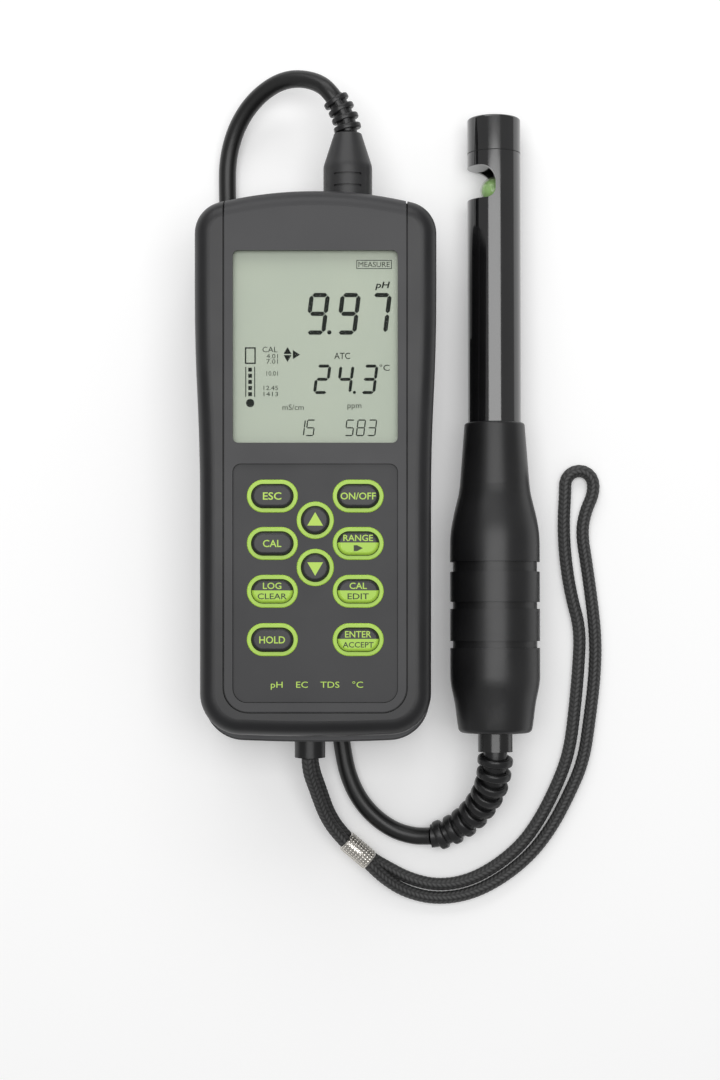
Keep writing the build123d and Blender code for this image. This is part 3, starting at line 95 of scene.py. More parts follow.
class Wiring:
    """Adds nodes to one tree and joins them."""

    def __init__(self, tree: NodeTree) -> None:
        """Keeps the tree."""
        self.tree = tree

    def fill(self, node: Node, feeds: dict[str | int, object]) -> None:
        """Gives a node's inputs what they take.

        Args:
            node: the node.
            feeds: a socket to join, a hex colour or a plain value for each input, by name or place.
        """
        for key, value in feeds.items():
            if isinstance(value, NodeSocket):
                self.tree.links.new(value, node.inputs[key])
            else:
                node.inputs[key].default_value = linear(value) if isinstance(value, str) else value

    def node(self, kind: str, feeds: dict[str | int, object] | None = None, **settings: object) -> Node:
        """Adds a node.

        Args:
            kind: Blender's name for the node's class.
            feeds: what its inputs take.
            settings: attributes to set on it.

        Returns:
            The node.
        """
        made = self.tree.nodes.new(kind)
        for key, value in settings.items():
            setattr(made, key, value)
        self.fill(made, feeds or {})
        return made

    def out(self, kind: str, feeds: dict[str | int, object] | None = None, **settings: object) -> NodeSocket:
        """Adds a node and gives its first output."""
        return self.node(kind, feeds, **settings).outputs[0]

    def given(self, label: str) -> NodeSocket:
        """Gives a value that the group takes in."""
        return self.tree.nodes["Group Input"].outputs[label]

    def hand_out(self, results: dict[str | int, object]) -> NodeTree:
        """Joins the group's results to its outputs and gives the group."""
        self.fill(self.tree.nodes["Group Output"], results)
        return self.tree

    def maths(self, operation: str, first: object, second: object) -> NodeSocket:
        """Adds a Math node on two sockets or numbers."""
        return self.out("ShaderNodeMath", {0: first, 1: second}, operation=operation)

    def span(self, value: NodeSocket, low: float, high: float, to_low: float, to_high: float) -> NodeSocket:
        """Maps a value from one range to another, held at the ends."""
        ends = {"Value": value, "From Min": low, "From Max": high, "To Min": to_low, "To Max": to_high}
        return self.out("ShaderNodeMapRange", ends)

    def mix(self, amount: NodeSocket, first: object, second: object) -> NodeSocket:
        """Mixes two colours, sockets or hex, by a mask that is 1 for the second."""
        return self.node("ShaderNodeMix", {0: amount, 6: first, 7: second}, data_type="RGBA").outputs[2]

    def copies(self, points: NodeSocket, shape: NodeSocket, facing: NodeSocket,
               size: Sequence[object]) -> NodeSocket:
        """Sets a copy of a shape on each point and makes the copies real.

        Args:
            points: where the copies go.
            shape: what is copied.
            facing: the direction of each copy's own Z axis.
            size: the three scales, sockets or numbers.

        Returns:
            The copies' geometry.
        """
        turn = self.out("FunctionNodeAlignRotationToVector", {"Vector": facing}, axis="Z")
        scale = self.out("ShaderNodeCombineXYZ", dict(enumerate(size)))
        placed = self.out("GeometryNodeInstanceOnPoints",
                          {"Points": points, "Instance": shape, "Rotation": turn, "Scale": scale})
        return self.out("GeometryNodeRealizeInstances", {0: placed})

    def painted(self, geometry: NodeSocket) -> NodeSocket:
        """Sets the tree's material on its geometry."""
        return self.out("GeometryNodeSetMaterial", {"Geometry": geometry, "Material": self.given("Material")})


def node_group(name: str, kind: str, inputs: dict[str, tuple[str, object]],
               outputs: dict[str, str]) -> Wiring:
    """Starts a node group with named sockets.

    Args:
        name: the group's name.
        kind: Blender's name for the kind of tree.
        inputs: each input's socket type and value, or None where it has no value.
        outputs: each output's socket type.

    Returns:
        The group's wiring, with its input and output nodes in it.
    """
    group = bpy.data.node_groups.new(name, kind)
    for label, (socket_type, value) in inputs.items():
        socket = group.interface.new_socket(label, in_out="INPUT", socket_type=socket_type)
        if value is not None:
            socket.default_value = value
    for label, socket_type in outputs.items():
        group.interface.new_socket(label, in_out="OUTPUT", socket_type=socket_type)
    group.nodes.new("NodeGroupInput")
    group.nodes.new("NodeGroupOutput")
    return Wiring(group)


def moulded_surface_group() -> NodeTree:
    """Builds the group for moulded plastic and rubber: fine grain, and broad patches left by handling.

    Returns:
        The group, with outputs Patches and Grain.
    """
    number = "NodeSocketFloat"
    inputs = {"Vector": ("NodeSocketVector", None), "Patch Scale": (number, 40.0),
              "Grain Scale": (number, 1500.0)}
    wires = node_group("moulded_surface", "ShaderNodeTree", inputs, {"Patches": number, "Grain": number})
    place = wires.given("Vector")
    patches, grain = [
        wires.out("ShaderNodeTexNoise", {"Vector": place, "Scale": wires.given(scale), "Detail": detail})
        for scale, detail in (("Patch Scale", 3.0), ("Grain Scale", 2.0))]
    return wires.hand_out({"Patches": wires.span(patches, 0.35, 0.7, 0.0, 1.0), "Grain": grain})


MOULDED = moulded_surface_group()


@dataclass(frozen=True)
class Finish:
    """A moulded, painted or plated finish: two close colours in patches, a grain and a gloss.

    Sizes are in metres. A roughness spread is added where hands have polished the surface less.
    """

    name: str
    colour: str
    second: str
    roughness: float
    spread: float = 0.06
    grain: float = 0.0005
    depth: float = 0.00001
    patch: float = 0.02
    metallic: float = 0.0
    specular: float = 0.5
    coat: float = 0.0
    coat_roughness: float = 0.06
    ior: float = 1.5
    alpha: float = 1.0

    def tint(self, wires: Wiring, colour: NodeSocket, place: NodeSocket) -> NodeSocket:
        """Gives the patchy colour back as it is."""
        return colour

    def build(self) -> Material:
        """Makes the finish's material.

        Returns:
            The material, with constants on its shader's own sockets.
        """
        material = bpy.data.materials.new("finish_" + self.name)
        material.use_nodes = True
        wires = Wiring(material.node_tree)
        place = wires.node("ShaderNodeTexCoord").outputs["Object"]
        scales = {"Vector": place, "Patch Scale": 1 / self.patch, "Grain Scale": 1 / self.grain}
        group = wires.node("ShaderNodeGroup", scales, node_tree=MOULDED)
        patches = group.outputs["Patches"]
        bump = {"Distance": self.depth, "Height": group.outputs["Grain"]}
        wires.fill(material.node_tree.nodes["Principled BSDF"], {
            "Base Color": self.tint(wires, wires.mix(patches, self.colour, self.second), place),
            "Roughness": wires.span(patches, 0.0, 1.0, self.roughness, self.roughness + self.spread),
            "Normal": wires.out("ShaderNodeBump", bump),
            "Metallic": self.metallic, "Specular IOR Level": self.specular, "Coat Weight": self.coat,
            "Coat Roughness": self.coat_roughness, "IOR": self.ior, "Alpha": self.alpha})
        return material


@dataclass(frozen=True)
class BandedFinish(Finish):
    """A finish that changes colour across a level of one coordinate: a painted highlight on the panel's
    ledge, lit from above, or the print on a half-printed key.
    """

    below: str = "#808080"
    axis: str = "Z"
    level: float = 0.0
    blend: float = 0.00005

    def tint(self, wires: Wiring, colour: NodeSocket, place: NodeSocket) -> NodeSocket:
        """Gives the low side of the level its own colour: a painted highlight on a lit ledge, or print on a
        key.

        Args:
            wires: the material's wiring.
            colour: the patchy colour.
            place: the object's coordinates.

        Returns:
            The banded colour.
        """
        split = wires.node("ShaderNodeSeparateXYZ", {0: place})
        low, high = self.level - self.blend, self.level + self.blend
        mask = wires.span(split.outputs[self.axis], low, high, 1.0, 0.0)
        return wires.mix(mask, colour, self.below)


@dataclass(frozen=True)
class BraidFinish(Finish):
    """Braided yarn, with painted shade between the strands and a painted highlight on their backs, from the
    piece's strand height.
    """

    crest: str = "#4c4c4c"

    def tint(self, wires: Wiring, colour: NodeSocket, place: NodeSocket) -> NodeSocket:
        """Paints a highlight on the backs of the strands."""
        height = wires.node("ShaderNodeAttribute", attribute_name="strand_height").outputs["Fac"]
        return wires.mix(wires.span(height, 0.25, 1.0, 0.0, 1.0), colour, self.crest)


class Finishes(Enum):
    """Every finish on the object. Those of the frame's own material slots have the slots' names."""

    # Below the ledge's level the charcoal is painted lighter grey: a painted highlight for the ledge's top
    # face, lit from above.
    CHARCOAL_SHELL = BandedFinish("charcoal_panel_lit_ledge", "#29292b", "#2e2e30", 0.42, grain=0.0004, depth=0.000012,
                                  below="#5c5c5f", axis="Z", level=28.5 * MM)
    GREY_SHELL = Finish("back_shell_plastic", "#232325", "#29292b", 0.45, grain=0.0006, depth=0.00002)
    GRIP_RUBBER = Finish("grip_rubber", "#141416", "#1a1a1c", 0.38)
    KEYPAD_FILM = Finish("keypad_film", "#242426", "#29292b", 0.46, grain=0.0004)
    RING_PLASTIC = Finish("lime_ring", "#a6cf45", "#b1d851", 0.35, grain=0.0006, depth=0.000004)
    KEY_RUBBER = Finish("key_rubber", "#232325", "#29292b", 0.4, grain=0.0004, depth=0.000006)
    LIME_PRINT = Finish("lime_print", "#b5d957", "#bddf60", 0.5, depth=0.000002)
    DARK_PRINT = Finish("dark_print", "#2c3320", "#323a26", 0.5, depth=0.000002)
    LCD_GLASS = Finish("lcd_ground", "#b3beab", "#bac4b0", 0.3, patch=0.03, depth=0.000001)
    SEGMENT = Finish("lcd_segment", "#0a100a", "#0f150f", 0.5, specular=0.1, depth=0.000001)
    SMALL_SEGMENT = Finish("lcd_small_segment", "#1e261d", "#252d24", 0.5, specular=0.1, depth=0.000001)
    CLEAR_LENS = Finish("clear_lens", "#5b635b", "#626a62", 0.04, spread=0.01, depth=0.0, alpha=0.05,
                        specular=0.3)
    SEAL_RUBBER = Finish("seal_rubber", "#161616", "#1c1c1c", 0.5)
    MAT_RUBBER = SEAL_RUBBER
    BLACK_PLASTIC = Finish("black_plastic", "#141415", "#1a1a1b", 0.4)
    WHITE_PLASTIC = Finish("white_plastic", "#d8d8d2", "#dedfd9", 0.5)
    CIRCUIT_BOARD = Finish("circuit_board", "#123d20", "#174a28", 0.35, grain=0.0015, coat=0.3)
    STEEL = Finish("screw_steel", "#8f8f8f", "#a0a0a0", 0.3, metallic=1.0, grain=0.0003)
    PLATED_METAL = Finish("bright_plating", "#cfcbc4", "#dcd9d3", 0.2, metallic=1.0, grain=0.0004,
                          depth=0.000006)
    GOLD_CONTACT = Finish("contact_gold", "#d9b25a", "#e3bf6b", 0.22, metallic=1.0)
    CELL_JACKET = Finish("cell_jacket", "#2b2b30", "#34343a", 0.3, coat=0.5)
    PLUG_PLASTIC = Finish("plug_plastic", "#252526", "#2c2c2d", 0.4, grain=0.0004, depth=0.000012)
    RELIEF_PLASTIC = Finish("relief_rubber", "#171718", "#1d1d1e", 0.3, depth=0.000008)
    CABLE_JACKET = Finish("cable_jacket", "#131313", "#191919", 0.32, grain=0.0006, depth=0.000008)
    GLAND_PLASTIC = Finish("gland_plastic", "#101010", "#161616", 0.22, coat=0.4)
    HANDLE_RUBBER = Finish("handle_rubber", "#161617", "#1c1c1d", 0.34, depth=0.000012)
    TUBE_PLASTIC = Finish("tube_plastic", "#0c0c0d", "#111112", 0.1, spread=0.04, grain=0.0008,
                          depth=0.000002, ior=1.7, coat=0.6)
    SEAM = Finish("seam_shadow", "#030303", "#050505", 0.8)
    ELECTRODE_GLASS = Finish("electrode_glass", "#cfe6b0", "#d8ecbd", 0.03, spread=0.01, depth=0.0,
                             alpha=0.25, specular=0.9)
    GEL = Finish("electrode_gel", "#5fae12", "#79c522", 0.25, patch=0.002)
    # The crest colour is a painted highlight on the backs of the strands, and the base colour is painted
    # shade between them.
    BRAIDED_CORD = BraidFinish("braided_yarn", "#0e0e0e", "#151515", 0.55, grain=0.0002, depth=0.00004,
                               crest="#4a4a4a")
    FERRULE_METAL = Finish("strap_ferrule_plastic", "#151516", "#1b1b1c", 0.3)

    def material(self) -> Material:
        """Gives this finish's material, made once."""
        return bpy.data.materials.get("finish_" + self.value.name) or self.value.build()


def dress(node: str, material: Material) -> None:
    """Gives a frame node a material in all its slots.

    Args:
        node: the node's name.
        material: its new material.
    """
    mesh = frame["nodes"][node].data
    mesh.materials.clear()
    mesh.materials.append(material)


def in_scene(name: str, data: bpy.types.ID) -> Object:
    """Puts a mesh, curve, lamp or camera in the scene.

    Args:
        name: the object's name.
        data: what the object shows.

    Returns:
        The object, at the origin.
    """
    made = bpy.data.objects.new(name, data)
    bpy.context.scene.collection.objects.link(made)
    return made


def piece_from(name: str, mesh: Mesh, finish: Finishes, body: Body | str, slot: str = "",
               smooth: bool = True) -> Object:
    """Puts a mesh in the scene as a piece at the origin and lets it ride.

    Args:
        name: the piece's name.
        mesh: its mesh, in the frame's own place.
        finish: its finish, unless the mesh has a material.
        body: the body that it rides on.
        slot: its material slot, where that isn't its finish's own; not used.
        smooth: whether its faces are shaded smooth.

    Returns:
        The piece.
    """
    if not mesh.materials:
        mesh.materials.append(finish.material())
    for face in mesh.polygons:
        face.use_smooth = smooth
    piece = in_scene(name, mesh)
    carrier = body.value if isinstance(body, Body) else body
    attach(piece, carrier)
    slot or finish.name.lower()
    LOG.info("piece %s: %d faces, on %s", name, len(mesh.polygons), carrier)
    return piece


def baked(carrier: Object, name: str) -> Mesh:
    """Evaluates an object with its modifiers, takes the mesh and deletes the object.

    Args:
        carrier: the object that holds the modifiers.
        name: the mesh's name.

    Returns:
        A plain mesh.
    """
    bpy.context.view_layer.update()
    graph = bpy.context.evaluated_depsgraph_get()
    mesh = bpy.data.meshes.new_from_object(carrier.evaluated_get(graph))
    mesh.name = name
    bpy.data.objects.remove(carrier)
    return mesh


def nurbs_route(name: str, points: Sequence[Point]) -> Object:
    """Makes a smooth open curve with a route's points as its control points.

    Args:
        name: the curve's name.
        points: the route, in millimetres.

    Returns:
        The curve's object, without a bevel.
    """
    curve = bpy.data.curves.new(name, "CURVE")
    curve.dimensions = "3D"
    curve.resolution_u = 12
    spline = curve.splines.new("NURBS")
    spline.points.add(len(points) - 1)
    for control, place in zip(spline.points, points):
        control.co = (place[0] * MM, place[1] * MM, place[2] * MM, 1.0)
    spline.order_u = 3
    spline.use_endpoint_u = True
    return in_scene(name, curve)


def even_line(name: str, points: Sequence[Point], step: float) -> list[Vector]:
    """Spaces points evenly along a route's smooth curve.

    Args:
        name: a name for the curve.
        points: the route, in millimetres.
        step: the spacing wanted, in metres.

    Returns:
        Evenly spaced points with both ends, in metres.
    """
    mesh = baked(nurbs_route(name, points), name)
    line = [vertex.co.copy() for vertex in mesh.vertices]
    bpy.data.meshes.remove(mesh)
    reach = [0.0]
    for before, after in zip(line, line[1:]):
        reach.append(reach[-1] + (after - before).length)
    count = max(2, round(reach[-1] / step))
    placed, spot = [], 0
    for i in range(count + 1):
        wanted = reach[-1] * i / count
        while spot < len(reach) - 2 and reach[spot + 1] < wanted:
            spot += 1
        share = (wanted - reach[spot]) / max(reach[spot + 1] - reach[spot], 1e-9)
        placed.append(line[spot].lerp(line[spot + 1], min(share, 1.0)))
    return placed


def heading(line: Sequence[Vector], i: int) -> Vector:
    """Gives a line's direction at one of its points."""
    return (line[min(i + 1, len(line) - 1)] - line[max(i - 1, 0)]).normalized()


def skin(builder: bmesh.types.BMesh, rows: Sequence[Sequence[bmesh.types.BMVert]],
         closed: bool = True) -> None:
    """Joins rows of vertices with faces.

    Args:
        builder: the mesh being built.
        rows: the rows, all of one length.
        closed: whether each row is a ring.
    """
    for row, following in zip(rows, rows[1:]):
        for j in range(len(row) if closed else len(row) - 1):
            k = (j + 1) % len(row)
            builder.faces.new((row[j], row[k], following[k], following[j]))


def mesh_of(name: str, builder: bmesh.types.BMesh, outward: bool = False) -> Mesh:
    """Turns what was built into a mesh and frees the builder.

    Args:
        name: the mesh's name.
        builder: the mesh being built.
        outward: whether its faces are turned outward first.

    Returns:
        The mesh.
    """
    if outward:
        bmesh.ops.recalc_face_normals(builder, faces=builder.faces)
    mesh = bpy.data.meshes.new(name)
    builder.to_mesh(mesh)
    builder.free()
    return mesh


def merged(name: str, meshes: Iterable[Mesh]) -> Mesh:
    """Joins meshes into one and deletes them.

    Args:
        name: the new mesh's name.
        meshes: the meshes to join.

    Returns:
        One mesh.
    """
    builder = bmesh.new()
    for mesh in meshes:
        builder.from_mesh(mesh)
        bpy.data.meshes.remove(mesh)
    return mesh_of(name, builder)


@dataclass(frozen=True)
class Plate:
    """A level face that carries print: the frame's place of its middle and its height, in millimetres."""

    centre: Flat
    level: float

    def point(self, x: float, y: float) -> Point:
        """Turns millimetres from the middle into a place in the frame, in metres."""
        return (x + self.centre[0]) * MM, (y + self.centre[1]) * MM, self.level * MM

    def faces(self, name: str, shapes: Iterable[Sequence[Flat]]) -> Mesh:
        """Makes flat faces on the plate.

        Args:
            name: the mesh's name.
            shapes: each face's outline, anticlockwise, in millimetres.

        Returns:
            The mesh.
        """
        builder = bmesh.new()
        for shape in shapes:
            builder.faces.new([builder.verts.new(self.point(x, y)) for x, y in shape])
        return mesh_of(name, builder)


@dataclass(frozen=True)
class Lettering:
    """A word printed flat: its height and width in millimetres, and its weight and slant."""

    words: str
    height: float
    width: float = 0.0
    weight: float = 0.012
    slant: float = 0.0

    def mesh(self, at: Flat, plate: Plate) -> Mesh:
        """Makes the word's flat faces.

        Args:
            at: the word's middle on the plate, in millimetres.
            plate: what it is printed on.

        Returns:
            The mesh, in the frame.
        """
        text = bpy.data.curves.new("word", "FONT")
        text.body = self.words
        text.offset = self.weight
        text.shear = self.slant
        text.resolution_u = 3
        mesh = baked(in_scene("word", text), "word")
        xs = [v.co.x for v in mesh.vertices]
        ys = [v.co.y for v in mesh.vertices]
        tall = self.height / (max(ys) - min(ys))
        wide = self.width / (max(xs) - min(xs)) if self.width else tall
        middle = (min(xs) + max(xs)) / 2, (min(ys) + max(ys)) / 2
        for vertex in mesh.vertices:
            vertex.co = plate.point((vertex.co.x - middle[0]) * wide + at[0],
                                    (vertex.co.y - middle[1]) * tall + at[1])
        return mesh


def grown(holder: Object, name: str, tree: NodeTree, sizes: dict[str, object]) -> Mesh:
    """Runs a Geometry Nodes tree on an object and takes the mesh.

    Args:
        holder: the object, which is deleted.
        name: the mesh's name.
        tree: the tree.
        sizes: the tree's inputs, by their names.

    Returns:
        A plain mesh.
    """
    modifier = holder.modifiers.new(name, "NODES")
    modifier.node_group = tree
    for item in tree.interface.items_tree:
        if item.item_type == "SOCKET" and item.in_out == "INPUT" and item.name in sizes:
            modifier[item.identifier] = sizes[item.name]
    return baked(holder, name)


def geometry_tree(name: str, sizes: dict[str, float]) -> Wiring:
    """Starts a Geometry Nodes tree that takes a geometry, sizes and a material.

    Args:
        name: the tree's name.
        sizes: its sizes' names and first values. A whole number is a count.

    Returns:
        The tree's wiring.
    """
    inputs: dict[str, tuple[str, object]] = {"Geometry": ("NodeSocketGeometry", None)}
    for label, value in sizes.items():
        inputs[label] = ("NodeSocketInt" if isinstance(value, int) else "NodeSocketFloat", value)
    inputs["Material"] = ("NodeSocketMaterial", None)
    return node_group(name, "GeometryNodeTree", inputs, {"Geometry": "NodeSocketGeometry"})


def rib_tree() -> NodeTree:
    """Builds the tree that sets tapering round ribs along a curve, over a core.

    Returns:
        The tree. Its sizes are inputs, in metres.
    """
    root_in_core, round_sides, corner_points = 0.6 * MM, 40, 4
    wires = geometry_tree("relief_ribs", {"Count": 9, "First Radius": 0.006, "Last Radius": 0.005,
                                          "Core Radius": 0.004, "Rib Width": 0.003, "Edge Round": 0.0008,
                                          "Start": 0.05, "End": 0.95})
    route, first, core = (wires.given(label) for label in ("Geometry", "First Radius", "Core Radius"))
    ends = {"Curve": route, 2: wires.given("Start"), 3: wires.given("End")}
    trim = wires.out("GeometryNodeTrimCurve", ends, mode="FACTOR")
    spaced = wires.out("GeometryNodeResampleCurve", {"Curve": trim, "Count": wires.given("Count")})
    depth = wires.maths("SUBTRACT", first, core)
    middle = wires.maths("ADD", core, wires.maths("MULTIPLY", depth, 0.5))
    hoop = wires.out("GeometryNodeCurvePrimitiveCircle", {"Resolution": round_sides, "Radius": middle})
    across = {"Width": wires.maths("ADD", depth, root_in_core), "Height": wires.given("Rib Width")}
    section = wires.out("GeometryNodeCurvePrimitiveQuadrilateral", across)
    corners = {"Count": corner_points, "Curve": section, "Radius": wires.given("Edge Round")}
    rounded = wires.out("GeometryNodeFilletCurve", corners, mode="POLY")
    rib = wires.out("GeometryNodeCurveToMesh", {"Curve": hoop, "Profile Curve": rounded})
    last = wires.maths("SUBTRACT", wires.given("Count"), 1.0)
    share = wires.maths("DIVIDE", wires.out("GeometryNodeInputIndex"), last)
    ratio = wires.maths("DIVIDE", wires.given("Last Radius"), first)
    drop = wires.maths("MULTIPLY", share, wires.maths("SUBTRACT", 1.0, ratio))
    girth = wires.maths("SUBTRACT", 1.0, drop)
    ribs = wires.copies(spaced, rib, wires.out("GeometryNodeInputTangent"), (girth, girth, 1.0))
    round_core = wires.out("GeometryNodeCurvePrimitiveCircle", {"Radius": core})
    cover = {"Fill Caps": True, "Curve": route, "Profile Curve": round_core}
    filled = wires.out("GeometryNodeCurveToMesh", cover)
    both = wires.node("GeometryNodeJoinGeometry", {0: ribs})
    wires.fill(both, {0: filled})
    return wires.hand_out({"Geometry": wires.painted(both.outputs[0])})


def knurl_tree() -> NodeTree:
    """Builds the tree that sets a bump on each point of a sleeve.

    Returns:
        The tree. Its sizes are inputs, in metres.
    """
    wires = geometry_tree("crimp_knurl", {"Bump Radius": 0.0006, "Bump Height": 0.6})
    bump = wires.out("GeometryNodeMeshIcoSphere", {"Subdivisions": 2, "Radius": wires.given("Bump Radius")})
    bumps = wires.copies(wires.given("Geometry"), bump, wires.out("GeometryNodeInputNormal"),
                         (1.0, 1.0, wires.given("Bump Height")))
    return wires.hand_out({"Geometry": wires.painted(bumps)})


@dataclass
class Studio:
    """The floor, the lamps and the camera straight over the object. Sizes are in metres."""

    camera_place: Point = (-0.00375, -0.0397, 0.8)
    lens_mm: float = 70.0
    sensor_mm: float = 36.0
    sky: float = 0.36
    overhead_power: float = 9.5
    overhead_size: Flat = (1.3, 0.75)
    overhead_place: Point = (0.0, 0.1, 1.35)
    overhead_target: Point = (0.0, 0.1, 0.0)
    end_power: float = 3.0
    end_size: Flat = (0.9, 0.5)
    end_place: Point = (-0.1, 0.75, 0.55)
    end_target: Point = (0.0, 0.0, 0.0)
    floor_half_mm: float = 3000.0
    floor_grey: float = 0.9
    floor_roughness: float = 0.9
    floor_specular: float = 0.1
    floor_glow: float = 0.16

    def camera(self) -> None:
        """Makes the camera, looking straight down."""
        data = bpy.data.cameras.new("camera")
        data.lens = self.lens_mm
        data.sensor_width = self.sensor_mm
        camera = in_scene("camera", data)
        camera.location = self.camera_place
        bpy.context.scene.camera = camera

    def lamp(self, name: str, power: float, size: Flat, place: Point, target: Point) -> None:
        """Makes a soft rectangular lamp.

        Args:
            name: the lamp's name.
            power: its power, in watts.
            size: its sides.
            place: where it hangs.
            target: what it is aimed at.
        """
        data = bpy.data.lights.new(name, "AREA")
        data.shape = "RECTANGLE"
        data.size, data.size_y = size
        data.energy = power
        lamp = in_scene(name, data)
        lamp.location = place
        lamp.rotation_euler = (Vector(target) - Vector(place)).to_track_quat("-Z", "Y").to_euler()

    def seen(self, wires: Wiring, *rays: str) -> NodeSocket:
        """Gives 1 for some kinds of ray, and 0 for the rest, such as those that light.

        Args:
            wires: the material's or world's wiring.
            rays: the kinds, by their names on the Light Path node.

        Returns:
            The mask's socket.
        """
        path = wires.node("ShaderNodeLightPath")
        mask = path.outputs[rays[0]]
        for ray in rays[1:]:
            mask = wires.maths("MAXIMUM", mask, path.outputs[ray])
        return mask

    def floor(self) -> None:
        """Makes the pale floor: white to the camera, with the shadow kept, and clear from below."""
        half = self.floor_half_mm
        corners = ((-half, -half), (half, -half), (half, half), (-half, half))
        mesh = Plate((0.0, 0.0), 0.0).faces("floor", [corners])
        material = bpy.data.materials.new("pale_floor")
        material.use_nodes = True
        wires = Wiring(material.node_tree)
        shader = material.node_tree.nodes["Principled BSDF"]
        seen = self.seen(wires, "Is Camera Ray", "Is Glossy Ray", "Is Transmission Ray")
        wires.fill(shader, {"Base Color": (self.floor_grey, self.floor_grey, self.floor_grey, 1.0),
                            "Roughness": self.floor_roughness, "Specular IOR Level": self.floor_specular,
                            "Emission Color": WHITE,
                            "Emission Strength": wires.maths("MULTIPLY", seen, self.floor_glow)})
        underside = wires.node("ShaderNodeNewGeometry").outputs["Backfacing"]
        clear = wires.out("ShaderNodeBsdfTransparent")
        both = wires.out("ShaderNodeMixShader", {0: underside, 1: shader.outputs[0], 2: clear})
        wires.fill(material.node_tree.nodes["Material Output"], {"Surface": both})
        mesh.materials.append(material)
        in_scene("floor", mesh)

    def world(self) -> None:
        """Makes an even pale sky, white where it is seen directly."""
        world = bpy.data.worlds.new("sky")
        world.use_nodes = True
        wires = Wiring(world.node_tree)
        seen = self.seen(wires, "Is Camera Ray", "Is Transmission Ray")
        wires.fill(world.node_tree.nodes["Background"],
                   {"Color": WHITE, "Strength": wires.span(seen, 0.0, 1.0, self.sky, 1.0)})
        bpy.context.scene.world = world

    def build(self) -> None:
        """Makes the whole studio."""
        self.camera()
        self.lamp("overhead_softbox", self.overhead_power, self.overhead_size, self.overhead_place,
                  self.overhead_target)
        self.lamp("end_softbox", self.end_power, self.end_size, self.end_place, self.end_target)
        self.floor()
        self.world()
        bpy.context.scene.view_settings.view_transform = "Standard"


